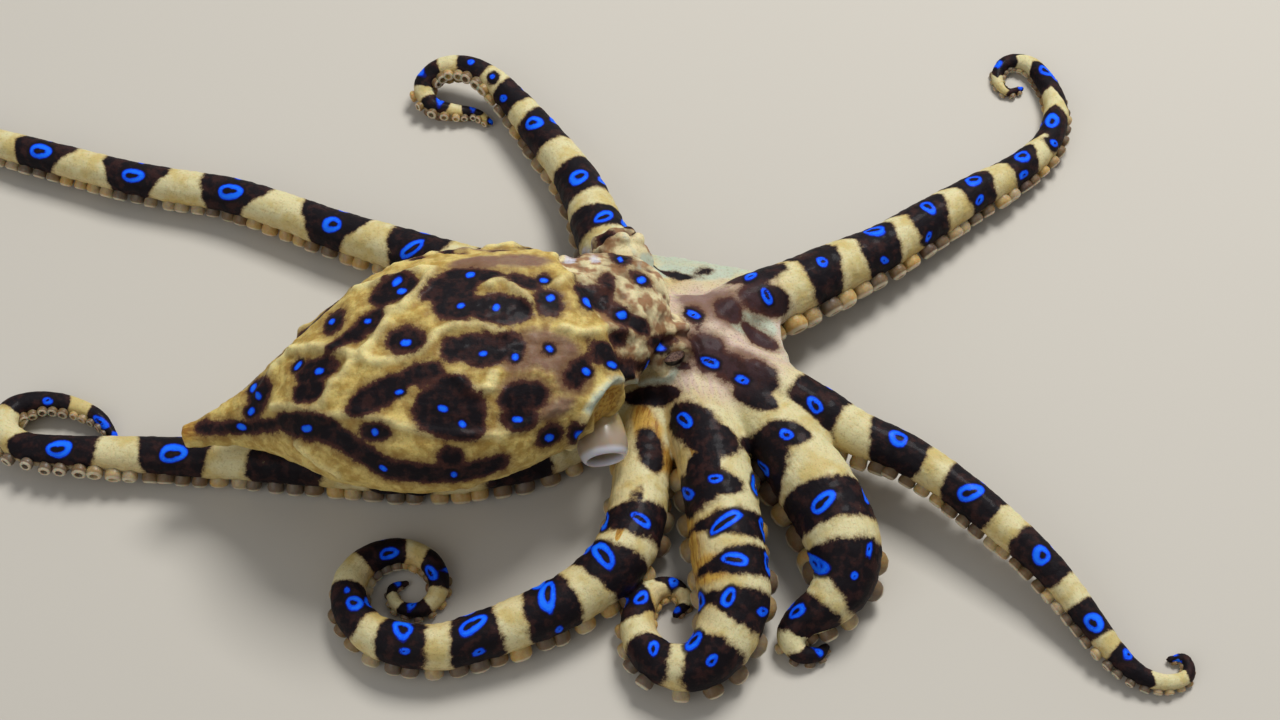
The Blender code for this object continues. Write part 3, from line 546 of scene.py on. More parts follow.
def loft_faces(rings, sides, start=0):
    """Faces between rings of equal size, whose points follow each other from start on."""
    faces = []
    for j in range(rings - 1):
        for k in range(sides):
            a, b = start + j * sides + k, start + j * sides + (k + 1) % sides
            faces.append((a, b, b + sides, a + sides))
    return faces


def closed_loft(rings):
    """Points and faces of a closed solid through rings of equal size, capped by fans."""
    sides = len(rings[0])
    ends = [np.mean(rings[0], axis=0), np.mean(rings[-1], axis=0)]
    points = np.vstack([np.array(rings).reshape(-1, 3), *ends])
    faces = loft_faces(len(rings), sides)
    first, last = len(points) - 2, len(points) - 1
    base = (len(rings) - 1) * sides
    faces += [((k + 1) % sides, k, first) for k in range(sides)]
    faces += [(base + k, base + (k + 1) % sides, last) for k in range(sides)]
    return points, faces


# An arm's rings: their sides, the way from one to the next in radii and at least in millimetres, and the
# reach and spread of those that round its tip, in radii
ARM_SIDES = 24
ARM_PITCH, ARM_LEAST_PITCH = 0.3, 0.15
ARM_END = [(0.5, 0.85), (0.85, 0.5), (1.0, 0.1)]


def arm_solid(arm):
    places = [0.0]
    while places[-1] < arm.length:
        places.append(places[-1] + max(ARM_PITCH * arm.radius(places[-1]), ARM_LEAST_PITCH))
    places[-1] = arm.length
    turns = circle(ARM_SIDES)
    across, over = np.cos(turns), np.sin(turns)
    over = np.where(over > 0, over, over * BELLY)
    rings = []
    for s in places:
        centre, radius, ahead, back, side = arm.at(s)
        flat = across[:, None] * side + over[:, None] * back
        rings.append(centre + radius * flat)
    rings += [centre + radius * (ahead * reach + flat * spread) for reach, spread in ARM_END]
    return closed_loft(rings)


BODY_STEP = 0.2
BODY_SIDES = 48
BODY_RINGS = 60


def body_solid(sections):
    """A closed solid through sections of the mantle or the head."""
    along, line = catmull_rom(sections, BODY_STEP)
    ahead = np.gradient(line[:, :3], axis=0)
    turns = circle(BODY_SIDES)
    rings = []
    for share in np.linspace(0, 1, BODY_RINGS):
        i = int(round(share * (len(along) - 1)))
        wide, over, under = line[i, 3:]
        way = unit(ahead[i])
        side = unit(np.cross(way, UP))
        up = np.cross(side, way)
        tall = np.where(np.sin(turns) > 0, over, under) * np.sin(turns)
        rings.append(line[i, :3] + wide * np.cos(turns)[:, None] * side + tall[:, None] * up)
    return closed_loft(rings)


def ellipsoid(middle, size, sides=32, tall=20):
    """A closed solid whose size is one radius or three."""
    rings = []
    turns = circle(sides)
    for lat in np.linspace(-math.pi / 2, math.pi / 2, tall + 1)[1:-1]:
        level = np.full(sides, np.sin(lat))
        ball = np.stack([np.cos(lat) * np.cos(turns), np.cos(lat) * np.sin(turns), level], 1)
        rings.append(np.array(middle) + np.array(size) * ball)
    return closed_loft(rings)


# A web's faces across and outwards, and where it starts and how far it goes on, as shares of its reach
WEB_ACROSS, WEB_OUT = 16, 12
WEB_FROM, WEB_SPAN = 0.12, 0.88


def web_solid(arms, first, second, first_reach, second_reach, cut):
    """A membrane between two arms with a scalloped free edge."""
    top = []
    for j in range(WEB_OUT + 1):
        for i in range(WEB_ACROSS + 1):
            u = i / WEB_ACROSS
            v = (WEB_FROM + WEB_SPAN * j / WEB_OUT) * (1 - cut * 4 * u * (1 - u))
            ends = []
            for name, reach in ((first, first_reach), (second, second_reach)):
                centre, radius, _, back, _ = arms[name].at(v * reach)
                ends.append(centre + back * radius * WEB_RISE)
            top.append(ends[0] * (1 - u) + ends[1] * u)
    top = np.array(top)
    under = top - np.array([0, 0, WEB_THICKNESS])
    count, row, faces = len(top), WEB_ACROSS + 1, []
    for j in range(WEB_OUT):
        for i in range(WEB_ACROSS):
            a = j * row + i
            quad = (a, a + 1, a + row + 1, a + row)
            faces += [quad, tuple(count + k for k in reversed(quad))]
    rim = [*range(row), *(j * row + WEB_ACROSS for j in range(1, WEB_OUT + 1))]
    rim += [*(WEB_OUT * row + i for i in range(WEB_ACROSS - 1, -1, -1))]
    rim += [*(j * row for j in range(WEB_OUT - 1, 0, -1))]
    faces += [(b, a, count + a, count + b) for a, b in zip(rim, rim[1:] + rim[:1])]
    return np.vstack([top, under]), faces


def eye_way(name):
    """The directions in front of an eye, to its side and over it."""
    other = next(n for n in EYE_MIDDLES if n != name)
    level = unit(np.array(EYE_MIDDLES[name]) - np.array(EYE_MIDDLES[other]))
    lift = math.radians(EYE_LIFT)
    way = math.cos(lift) * level + math.sin(lift) * np.array(UP)
    side = np.cross(level, UP)
    return way, side, np.cross(side, way)


LID_AROUND, LID_SIDES = 40, 14


def eyelid(name):
    """A flattened ring of skin with its opening in front of the eye."""
    way, side, up = eye_way(name)
    middle = np.array(EYE_MIDDLES[name]) + way * LID_FORWARD
    points = []
    for turn in circle(LID_AROUND):
        spoke = LID_WIDE * math.cos(turn) * side + LID_TALL * math.sin(turn) * up
        out = unit(spoke)
        for angle in circle(LID_SIDES):
            points.append(middle + spoke + LID_THICKNESS * (math.cos(angle) * out + math.sin(angle) * way))
    faces = loft_faces(LID_AROUND, LID_SIDES)
    last = (LID_AROUND - 1) * LID_SIDES
    for k in range(LID_SIDES):
        after = (k + 1) % LID_SIDES
        faces.append((last + k, last + after, after, k))
    return np.array(points), faces


def brow_lumps(name):
    way, side, _ = eye_way(name)
    side = side * (1 if name == "eye_right" else -1)
    lumps = []
    for forward, sideways, height, radius in BROW_LUMPS:
        place = np.array(EYE_MIDDLES[name]) + forward * way + sideways * side + np.array([0, 0, height])
        lumps.append(ellipsoid(place, radius, sides=20, tall=12))
    return lumps


def flesh_solids(arms):
    """Every closed solid that the skin covers, with the region it belongs to."""
    solids = [("mantle", body_solid(MANTLE)), ("head", body_solid(HEAD))]
    for name, middle in EYE_MIDDLES.items():
        place = np.array(middle) - eye_way(name)[0] * EYE_SUNK
        solids += [("head", ellipsoid(place, EYE_BULGE)), ("head", eyelid(name))]
        solids += [("head", lump) for lump in brow_lumps(name)]
    solids.append(("crown", ellipsoid(CROWN_MIDDLE, CROWN_SIZE)))
    solids += [("crown", web_solid(arms, *row)) for row in WEBS]
    solids += [("arm", arm_solid(arm)) for arm in arms.values()]
    return solids


def joined(solids):
    """Several solids' points and faces as one list of each."""
    points, faces, start = [], [], 0
    for solid_points, solid_faces in solids:
        points.append(solid_points)
        faces += [tuple(k + start for k in face) for face in solid_faces]
        start += len(solid_points)
    return np.vstack(points), faces


def remeshed(solids):
    """One even mesh round all the solids, in millimetres."""
    points, faces = joined(solids)
    obj = add_mesh("flesh", points, faces, moved=False)
    shape = bmesh.new()
    shape.from_mesh(obj.data)
    bmesh.ops.recalc_face_normals(shape, faces=shape.faces)
    shape.to_mesh(obj.data)
    shape.free()
    modifier = obj.modifiers.new("voxels", "REMESH")
    modifier.mode = "VOXEL"
    modifier.voxel_size = SKIN_VOXEL
    smooth = obj.modifiers.new("smooth", "SMOOTH")
    smooth.factor = 0.5
    smooth.iterations = SKIN_SMOOTHING
    mesh = bpy.data.meshes.new_from_object(obj.evaluated_get(bpy.context.evaluated_depsgraph_get()))
    bpy.data.objects.remove(obj)
    return mesh


class Surface:
    """A mesh's points, normals and neighbours, for work on it in numpy."""

    def __init__(self, mesh):
        self.mesh = mesh
        self.read()
        edges = np.empty(len(mesh.edges) * 2, np.int32)
        mesh.edges.foreach_get("vertices", edges)
        self.edges = edges.reshape(-1, 2)
        self.degree = np.bincount(self.edges.ravel(), minlength=len(self.points)).astype(float)

    def read(self):
        self.points, self.normals = self.rows("co"), self.rows("normal")

    def rows(self, name):
        values = np.empty(len(self.mesh.vertices) * 3, np.float32)
        self.mesh.vertices.foreach_get(name, values)
        return values.reshape(-1, 3).astype(float)

    def put(self, points):
        self.mesh.vertices.foreach_set("co", points.astype(np.float32).ravel())
        self.mesh.update()

    def move(self, points):
        """Moves the mesh to the points and reads it back."""
        self.put(points)
        self.read()

    def average(self, values):
        """Each point's mean of its neighbours' values."""
        total = np.zeros_like(values)
        np.add.at(total, self.edges[:, 0], values[self.edges[:, 1]])
        np.add.at(total, self.edges[:, 1], values[self.edges[:, 0]])
        return total / (self.degree[:, None] if values.ndim > 1 else self.degree)

    def relax(self, weight, times):
        """Smooths the points by weight, from 0 to 1."""
        points = self.points
        for _ in range(times):
            points += 0.5 * weight[:, None] * (self.average(points) - points)
        self.move(points)


def nearest_on_arm(arm, points):
    """Place along the arm, distance past its radius and angle from its back, for each point."""
    tree = point_tree(arm.centre)
    found = np.array([tree.find(p)[1] for p in points])
    away = points - arm.centre[found]
    angle = np.arctan2((away * arm.side[found]).sum(1), (away * arm.back[found]).sum(1))
    return arm.along[found], np.linalg.norm(away, axis=1) - arm.radii[found], angle


def surface_tree(points, faces):
    return BVHTree.FromPolygons([Vector(p) for p in points], faces)


def surface_distance(solid, points):
    tree = surface_tree(*solid)
    return np.array([tree.find_nearest(p)[3] for p in points])


def field_noise(points, size, seed):
    """Smooth noise from -1 to 1 whose features are about size millimetres."""
    offset = Vector((seed * 17.3, seed * 5.1, seed * 9.7))
    return np.array([noise.noise(Vector(p) / size + offset) for p in points])


# How far the regions of the skin fade into each other and how far the joins between them are smoothed
REGION_FADE = 0.6
JOIN_REACH = 0.9


class Fields:
    """What every point of the skin belongs to: region weights and arm coordinates."""

    def __init__(self, surface, arms, solids):
        points = surface.points
        near = [nearest_on_arm(arm, points) for arm in arms.values()]
        self.s, self.past, self.angles = (np.array([row[k] for row in near]) for k in range(3))
        self.arm = np.argmin(self.past, axis=0)
        rows = np.arange(len(points))
        self.along = self.s[self.arm, rows]
        self.angle = self.angles[self.arm, rows]
        self.arm_gap = self.past[self.arm, rows]
        self.radius = np.zeros(len(points))
        for a, arm in enumerate(arms.values()):
            mine = self.arm == a
            self.radius[mine] = np.interp(self.along[mine], arm.along, arm.radii)
        self.gaps = {"arm": np.abs(self.arm_gap)}
        for region in ("mantle", "head", "crown"):
            parts = [solid for name, solid in solids if name == region]
            self.gaps[region] = surface_distance(joined(parts), points)
        soft = {name: np.exp(-((gap / REGION_FADE) ** 2)) + 1e-6 for name, gap in self.gaps.items()}
        total = sum(soft.values())
        self.weight = {name: value / total for name, value in soft.items()}


def make_skin_surface(arms):
    """The skin's surface with its joins smoothed, and the fields on it."""
    solids = flesh_solids(arms)
    surface = Surface(remeshed([solid for _, solid in solids]))
    fields = Fields(surface, arms, solids)
    near_join = np.zeros(len(surface.points))
    for gaps in (np.array(list(fields.gaps.values())), fields.past):
        second = np.sort(gaps, axis=0)[1]
        near_join = np.maximum(near_join, np.exp(-((second / JOIN_REACH) ** 2)))
    surface.relax(near_join, JOIN_SMOOTHING)
    return surface, Fields(surface, arms, solids)


# Markings


def pixel_ray(x, y):
    """The direction in which the photo's camera sees a pixel."""
    scale = LENS / SENSOR * PHOTO_WIDTH
    right, up = (x - PHOTO_WIDTH / 2) / scale, (PHOTO_HEIGHT / 2 - y) / scale
    return unit(LOOK + right * SCREEN_RIGHT + up * SCREEN_UP)


def turned(u, v, turn):
    """Places on a plane as seen along and across a line at an angle on it."""
    c, s = math.cos(turn), math.sin(turn)
    return u * c + v * s, v * c - u * s


def lower(field, near, gap):
    """Keeps the least of a field's values and new ones at some of its points."""
    field[near] = np.minimum(field[near], gap)


class Marks:
    """Distances from every point of the skin to the edges of the markings, kept as the least so far."""

    # The distance where no marking is near
    FAR = 9.0
    # How far in front of the skin it is tested whether the camera sees it
    CLEAR = 0.5
    # Skin counts as hidden where it faces the camera less than this
    HIDDEN = 0.25
    # The least that slanted skin is squeezed in the photo, as far as a marking's size goes
    SQUEEZE = 0.5
    # How far past a stroke and past a ridge their distances are kept
    STROKE_REACH, RIDGE_REACH = 3.0, 2.5
    # How near the skin has to be to the place of a ring on an arm's side
    RING_NEAR = 0.8

    def __init__(self, surface, fields):
        self.average = surface.average
        self.points, self.normals = surface.points, surface.normals
        self.fields = fields
        self.tree = point_tree(self.points)
        self.bvh = surface_tree(self.points, [tuple(p.vertices) for p in surface.mesh.polygons])
        for name in ("dark", "blue", "mauve", "mint", "star", "gold"):
            setattr(self, name, np.full(len(self.points), self.FAR))
        self.ridge = np.zeros(len(self.points))
        self.seen = self.seen_by_camera()

    def seen_by_camera(self):
        """How far each point's skin faces the photo's camera, 0 where something is in front of it."""
        ways = units(EYE_POINT - self.points)
        facing = (ways * self.normals).sum(1)
        for i in np.nonzero(facing > 0)[0]:
            start = self.points[i] + ways[i] * self.CLEAR
            if self.bvh.ray_cast(Vector(start), Vector(ways[i]))[0] is not None:
                facing[i] = 0
        return np.clip(facing, 0, 1)

    def hit(self, x, y):
        """The nearest skin point to what the photo shows at a pixel."""
        place = self.bvh.ray_cast(Vector(EYE_POINT), Vector(pixel_ray(x, y)))[0]
        return None if place is None else self.tree.find(place)[1]

    def local(self, i, reach):
        """Points near point i, with their places on its tangent plane as the photo shows them."""
        centre, normal = self.points[i], self.normals[i]
        near = np.array([k for _, k, _ in self.tree.find_range(centre, reach)])
        near = near[(self.normals[near] @ normal) > 0.1]
        right = unit(SCREEN_RIGHT - (SCREEN_RIGHT @ normal) * normal)
        up = np.cross(normal, right)
        away = self.points[near] - centre
        squeeze = [max(np.linalg.norm(v - (v @ LOOK) * LOOK), self.SQUEEZE) for v in (right, up)]
        return near, (away @ right) * squeeze[0], (away @ up) * squeeze[1]

    def patch(self, field, x, y, long, wide, turn):
        """Keeps the distance to an ellipse that the photo shows, given in millimetres."""
        i = self.hit(x, y)
        if i is None:
            return
        near, u, v = self.local(i, 2.2 * max(long, wide) + 1.5)
        a, b = turned(u, v, math.radians(turn))
        rho = np.hypot(a / long, b / wide) + 1e-6
        lower(field, near, (rho - 1) * np.hypot(u, v) / rho)

    def stroke_gap(self, places, reach):
        """Skin points near a line through pixels, and their distances to it."""
        hits = [self.hit(x, y) for x, y in places]
        line = [self.points[i] for i in hits if i is not None]
        near, gaps = [[]], [[]]
        for a, b in zip(line, line[1:]):
            middle, half = (a + b) / 2, np.linalg.norm(b - a) / 2
            close = [k for _, k, _ in self.tree.find_range(middle, reach + half)]
            away, along = self.points[close] - a, b - a
            share = np.clip((away @ along) / max(along @ along, 1e-6), 0, 1)
            near.append(close)
            gaps.append(np.linalg.norm(away - share[:, None] * along, axis=1))
        near, gaps = np.concatenate(near).astype(int), np.concatenate(gaps)
        least = np.full(len(self.points), self.FAR)
        np.minimum.at(least, near, gaps)
        near = np.unique(near)
        return near, least[near]

    def stroke(self, field, half, places):
        near, gap = self.stroke_gap(places, self.STROKE_REACH)
        lower(field, near, gap - half)

    def raise_ridge(self, height, places):
        near, gap = self.stroke_gap(places, self.RIDGE_REACH)
        self.ridge[near] = np.maximum(self.ridge[near], height * np.exp(-((gap / RIDGE_WIDTH) ** 2)))

    def mirror_hidden(self):
        """Mirrors the markings of the body's seen side across its middle plane to the hidden one."""
        body = self.fields.weight["mantle"] + self.fields.weight["head"]
        _, line = catmull_rom(MANTLE[:-1] + HEAD[1:], BODY_STEP)
        spine = line[:, :3]
        ahead = units(np.gradient(spine, axis=0) * (1, 1, 0))
        tree = point_tree(spine)
        for i in np.nonzero((body > 0.5) & (self.seen < self.HIDDEN))[0]:
            k = tree.find(self.points[i])[1]
            side = np.cross(ahead[k], UP)
            away = self.points[i] - spine[k]
            image = self.tree.find(self.points[i] - 2 * (away @ side) * side)[1]
            fade = self.seen[i] / self.HIDDEN
            for field in (self.dark, self.blue, self.mauve):
                field[i] = min(field[i], field[image] + fade)
            self.ridge[i] = max(self.ridge[i], self.ridge[image])

    def soften(self):
        """Smooths the outlines of all markings but the blue ones."""
        for field in (self.dark, self.mauve, self.mint, self.star, self.gold, self.ridge):
            for _ in range(SOFT_ROUNDS):
                field += 0.5 * (self.average(field) - field)

    def ring(self, i, long, wide, turn, rand):
        """A wobbly blue ring round point i: outer half length and half width, and turn in radians."""
        near, u, v = self.local(i, 1.8 * max(long, wide) + 0.8)
        line = min(RING_LINE[1], max(RING_FILL * wide, RING_LINE[0]))
        long, wide = max(long - line / 2, 0.1), max(wide - line / 2, 0.1)
        a, b = turned(u, v, turn)
        a, b = a / long, b / wide
        rho, phi = np.hypot(a, b) + 1e-6, np.arctan2(b, a)
        p, q = rand.uniform(0, math.tau), rand.uniform(0, math.tau)
        wobble = 1 + 0.08 * np.sin(2 * phi + p) + 0.06 * np.sin(3 * phi + q)
        size = 1 / np.hypot(np.cos(phi) / long, np.sin(phi) / wide)
        gap = np.abs(rho - wobble) * size
        lower(self.blue, near, gap - line / 2 * (1 + 0.25 * np.sin(phi + p)))

    def surround(self, i, reach):
        """Dark skin round point i."""
        near, u, v = self.local(i, reach + 1.5)
        lower(self.dark, near, np.hypot(u, v) - reach)

    def dot(self, i, size, rand):
        """A blue dot at point i, a little wider than it is tall."""
        near, u, v = self.local(i, 2.5 * size + 0.5)
        phi = np.arctan2(v, u)
        wobble = 1 + 0.15 * np.sin(2 * phi + rand.uniform(0, math.tau))
        lower(self.blue, near, np.hypot(u * 0.85, v * 1.1) - size * wobble)

    def side_ring(self, arm, s, angle, size, rand):
        """A ring at an angle from the arm's back, its length along the arm."""
        centre, radius, ahead, back, side = arm.at(s)
        place = centre + radius * (math.cos(angle) * back + math.sin(angle) * side)
        _, i, gap = self.tree.find(place)
        if gap < self.RING_NEAR:
            turn = math.atan2(ahead @ SCREEN_UP, ahead @ SCREEN_RIGHT) + rand.uniform(-0.6, 0.6)
            self.ring(i, size, size * rand.uniform(0.6, 0.85), turn, rand)

    def rings_at(self, rows, rand):
        """Rings with dark skin round them, at pixels."""
        for x, y, long, wide, turn in rows:
            i = self.hit(x, y)
            if i is not None:
                self.ring(i, long, wide, math.radians(turn), rand)
                self.surround(i, max(long, wide) + RING_DARK)


# The way from band to band: where the photo gives none, how it shrinks towards the tip, its least value in
# millimetres and in radii, and how near to the tip the last band can be
FIRST_PITCH = 6.0
PITCH_SHRINK = 0.85
LEAST_PITCH, LEAST_PITCH_RADII = 1.3, 1.6
LAST_BAND = 1.5
# The angles from an arm's back of a ring that the photo doesn't show, and of the one on a band's far side
BACK_RING, FAR_RING = 0.2, 1.25
# The size of the latter as a share of the former's
FAR_RING_SHARE = 0.75
# How far from a band's middle its distances are kept
BAND_REACH = 8.0


def band_places(marks, a, arm):
    """The bands' middles along arm number a, the rings that the photo shows on them, and the last pitch."""
    fields = marks.fields
    own = [(marks.hit(x, y), shape) for x, y, *shape in BAND_RINGS[arm.name]]
    rings = sorted((fields.s[a][i], i, shape) for i, shape in own if i is not None and fields.arm[i] == a)
    middles = [row[0] for row in rings]
    pitch = np.diff(middles).mean() if len(middles) > 1 else FIRST_PITCH
    while middles[-1] < arm.length - LAST_BAND:
        pitch = min([pitch, *np.diff(middles[-2:])])
        pitch = max(pitch * PITCH_SHRINK, LEAST_PITCH + LEAST_PITCH_RADII * arm.radius(middles[-1]))
        middles.append(middles[-1] + pitch)
    if arm.name in HIDDEN_BANDS:
        step = middles[1] - middles[0]
        hidden = np.arange(middles[0] - step, HIDDEN_BANDS_FROM, -step)[::-1].tolist()
        middles = hidden + middles
        rings = [None] * len(hidden) + rings
    return middles, rings + [None] * (len(middles) - len(rings)), pitch


def arm_bands(marks, arms, rand):
    """Dark bands across each arm, a blue ring on each, and more on the side that the photo doesn't show."""
    for a, arm in enumerate(arms.values()):
        middles, rings, pitch = band_places(marks, a, arm)
        starts = [middles[0] - pitch * 1.2, *middles]
        ends = [*middles[1:], middles[-1] + pitch]
        for k, (start, middle, end, ring) in enumerate(zip(starts, middles, ends, rings)):
            if k or arm.name not in PATCHED_FIRST_BANDS:
                before, after = BAND_SHARE * (middle - start), BAND_SHARE * (end - middle)
                band(marks, a, arm, middle, before, after, rand)
            size = np.clip(RING_SHARE * arm.radius(middle) + RING_PLUS, *RING_LIMITS)
            if ring:
                _, i, (long, wide, turn) = ring
                marks.ring(i, long, wide, math.radians(turn), rand)
            else:
                marks.side_ring(arm, middle, BACK_RING, size, rand)
            far_ring = arm.far_side(middle) * FAR_RING
            marks.side_ring(arm, middle, far_ring, size * FAR_RING_SHARE, rand)
        marks.rings_at(SIDE_RINGS.get(arm.name, []), rand)


def band(marks, a, arm, middle, before, after, rand):
    """One dark band round the back and sides of arm number a, a little slanted and wedge-shaped."""
    fields = marks.fields
    slant, wedge, phase = rand.uniform(-0.2, 0.2), rand.uniform(0.05, 0.15), rand.uniform(0, math.tau)
    s, angle = fields.s[a], fields.angles[a]
    s = s - middle + slant * fields.radius * np.sin(angle)
    mine = (fields.arm == a) & (np.abs(s) < BAND_REACH)
    first = BAND_SIDES.get(arm.name, arm.far_side(middle))
    shape = BAND_SHAPES.get(arm.name, (0, 0, 0, 0))
    one, other = np.clip(np.sin(angle) * first, 0, 1), np.clip(-np.sin(angle) * first, 0, 1)
    rootward = before * (1 + shape[0] * one + shape[2] * other)
    tipward = after * (1 + shape[1] * one + shape[3] * other)
    down = np.clip((np.abs(angle) - 1.1) / 1.0, 0, 1)
    half = np.where(s < 0, rootward, tipward) * (1 - 0.15 * down + wedge * np.sin(angle + phase))
    gap = np.maximum(np.abs(s) - half, (np.abs(angle) - BAND_EDGE) * fields.radius)
    gap = np.maximum(gap, fields.arm_gap * 0.8 - 0.3)
    lower(marks.dark, mine, gap[mine])


MARKS_SEED = 7


def make_marks(surface, fields, arms):
    """Every marking, in an order that its random draws depend on."""
    rand = random.Random(MARKS_SEED)
    marks = Marks(surface, fields)
    for field, rows in ((marks.dark, DARK_PATCHES_AND_SHADE), (marks.gold, GOLD_PATCHES), (marks.mauve, MAUVE_PATCHES)):
        for row in rows:
            marks.patch(field, *row)
    for field, rows in ((marks.dark, DARK_STROKES), (marks.mint, MINT_STROKES), (marks.star, STAR_STROKES)):
        for row in rows:
            marks.stroke(field, *row)
    for row in RIDGES:
        marks.raise_ridge(*row)
    for x, y in SPOTS:
        i = marks.hit(x, y)
        if i is not None:
            marks.dot(i, rand.uniform(*DOT_RADII), rand)
            marks.surround(i, DOT_DARK)
    marks.mirror_hidden()
    marks.soften()
    arm_bands(marks, arms, rand)
    marks.rings_at(CROWN_RINGS, rand)
    return marks


# Materials


class Shader:
    """Adds nodes to a new material in short calls."""

    def __init__(self, name):
        self.material = bpy.data.materials.new(name)
        self.material.use_nodes = True
        self.tree = self.material.node_tree
        self.main = self.tree.nodes["Principled BSDF"]

    def node(self, kind, **settings):
        made = self.tree.nodes.new(kind)
        for key, value in settings.items():
            setattr(made, key, value)
        return made

    def put(self, socket, value):
        if isinstance(value, bpy.types.NodeSocket):
            self.tree.links.new(value, socket)
        else:
            socket.default_value = value

    def fill(self, made, **values):
        """Sets a node's inputs, whose names are written with _ for a space."""
        for name, value in values.items():
            self.put(made.inputs[name.replace("_", " ").title().replace("Ior", "IOR")], value)
        return made

    def set(self, **values):
        """Sets the Principled shader's inputs."""
        self.fill(self.main, **values)

    def field(self, name, output="Fac"):
        return self.node("ShaderNodeAttribute", attribute_name=name).outputs[output]

    def place(self, scale=1000.0):
        """The object's own coordinates, in millimetres."""
        coordinates = self.node("ShaderNodeTexCoord").outputs["Object"]
        made = self.node("ShaderNodeMapping")
        return self.fill(made, vector=coordinates, scale=(scale,) * 3).outputs["Vector"]

    def noise(self, vector, size, detail=3.0, rough=0.6):
        made = self.node("ShaderNodeTexNoise")
        return self.fill(made, vector=vector, scale=1 / size, detail=detail, roughness=rough).outputs["Fac"]

    def maths(self, operation, *values):
        made = self.node("ShaderNodeMath", operation=operation)
        for socket, value in zip(made.inputs, values):
            self.put(socket, value)
        return made.outputs[0]

    def plus(self, first, second):
        return self.maths("ADD", first, second)

    def times(self, first, second):
        return self.maths("MULTIPLY", first, second)

    def sway(self, value, size):
        """A noise made to swing about 0, by half of size either way."""
        return self.times(self.maths("SUBTRACT", value, 0.5), size)

    def ramp(self, value, low, high, top=1.0):
        """0 at low, top at high, with a soft step between."""
        made = self.node("ShaderNodeMapRange", interpolation_type="SMOOTHSTEP")
        step = self.fill(made, value=value, from_min=low, from_max=high).outputs["Result"]
        return step if top == 1.0 else self.times(step, top)

    def mix(self, share, first, second):
        made = self.node("ShaderNodeMix", data_type="RGBA")
        for k, value in ((0, share), (6, first), (7, second)):
            self.put(made.inputs[k], value)
        return made.outputs[2]

    def bump(self, height, distance):
        made = self.node("ShaderNodeBump")
        return self.fill(made, height=height, distance=distance, strength=1.0).outputs["Normal"]


def colour(red, green, blue):
    """A linear colour from the 0 to 255 values of a screen."""
    shares = [value / 255 for value in (red, green, blue)]
    return (*(v / 12.92 if v < 0.0405 else ((v + 0.055) / 1.055) ** 2.4 for v in shares), 1)


OCHRE = colour(176, 144, 72)
OCHRE_LIGHT = colour(212, 188, 112)
RIDGE_PALE = colour(228, 212, 146)
GOLD = colour(198, 158, 74)
GOLD_DEEP = colour(158, 110, 44)
CREAM = colour(216, 206, 158)
CREAM_DEEP = colour(200, 180, 116)
HEAD_CREAM = colour(222, 208, 162)
HEAD_TAN = colour(156, 118, 84)
GROOVE = colour(92, 60, 40)
PINK = colour(204, 178, 164)
MAUVE = colour(118, 86, 82)
MINT = colour(186, 194, 172)
STAR = colour(206, 206, 226)
DARK = colour(16, 9, 14)
DARK_SOFT = colour(48, 26, 24)
DARK_BROWN = colour(74, 42, 34)
DARK_EDGE = colour(112, 80, 44)
DARK_CROWN = colour(60, 38, 40)
BLUE = colour(0, 84, 245)
BLUE_LIGHT = colour(22, 116, 255)
BLUE_DEEP = colour(4, 20, 130)
SUCKER = colour(164, 146, 116)
SUCKER_GOLD = colour(184, 148, 84)
SUCKER_RIM = colour(212, 202, 172)
FUNNEL_SKIN = colour(184, 158, 96)
FUNNEL_PALE = colour(204, 186, 138)
FUNNEL_INSIDE = colour(168, 150, 128)
FUNNEL_LIP = colour(206, 206, 212)
IRIS_DARK = colour(110, 80, 70)
IRIS_LIGHT = colour(190, 152, 132)
IRIS_EDGE = colour(40, 24, 18)
PUPIL = colour(8, 6, 8)
FLOOR = colour(196, 190, 178)

# The sizes of the skin's noises and of its colour cells, in millimetres
COARSE_SIZE, MEDIUM_SIZE, FINE_SIZE, GRAIN_SIZE = 3.0, 1.2, 0.4, 0.14
STIPPLE_SIZE = 0.22


def arm_ground(shader, coarse, fibres, golden):
    """Cream skin with deeper streaks, golden low on the sides."""
    arm = shader.mix(shader.ramp(coarse, 0.42, 0.66), CREAM, CREAM_DEEP)
    arm = shader.mix(shader.ramp(fibres, 0.5, 0.3, 0.35), arm, CREAM_DEEP)
    return shader.mix(shader.times(shader.field("flank"), 0.75), arm, golden)


def body_ground(shader, place, medium, fibres):
    """Ochre skin with pale ridges and dark grooves, and the head's own lumps in cream and tan."""
    lift = shader.field("lift")
    mantle = shader.mix(shader.ramp(medium, 0.35, 0.65), OCHRE, OCHRE_LIGHT)
    mantle = shader.mix(shader.ramp(fibres, 0.48, 0.3, 0.4), mantle, OCHRE)
    mantle = shader.mix(shader.ramp(shader.field("ridge"), 0.05, 0.4), mantle, RIDGE_PALE)
    mantle = shader.mix(shader.ramp(lift, 0.0, -0.15, 0.6), mantle, GROOVE)
    soft = shader.noise(place, 1.5, 2.0, 0.5)
    lumps = shader.mix(shader.ramp(soft, 0.42, 0.60), HEAD_CREAM, HEAD_TAN)
    lumps = shader.mix(shader.ramp(lift, 0.02, -0.2, 0.85), lumps, GROOVE)
    return shader.mix(shader.ramp(shader.field("head"), 0.25, 0.8), mantle, lumps)


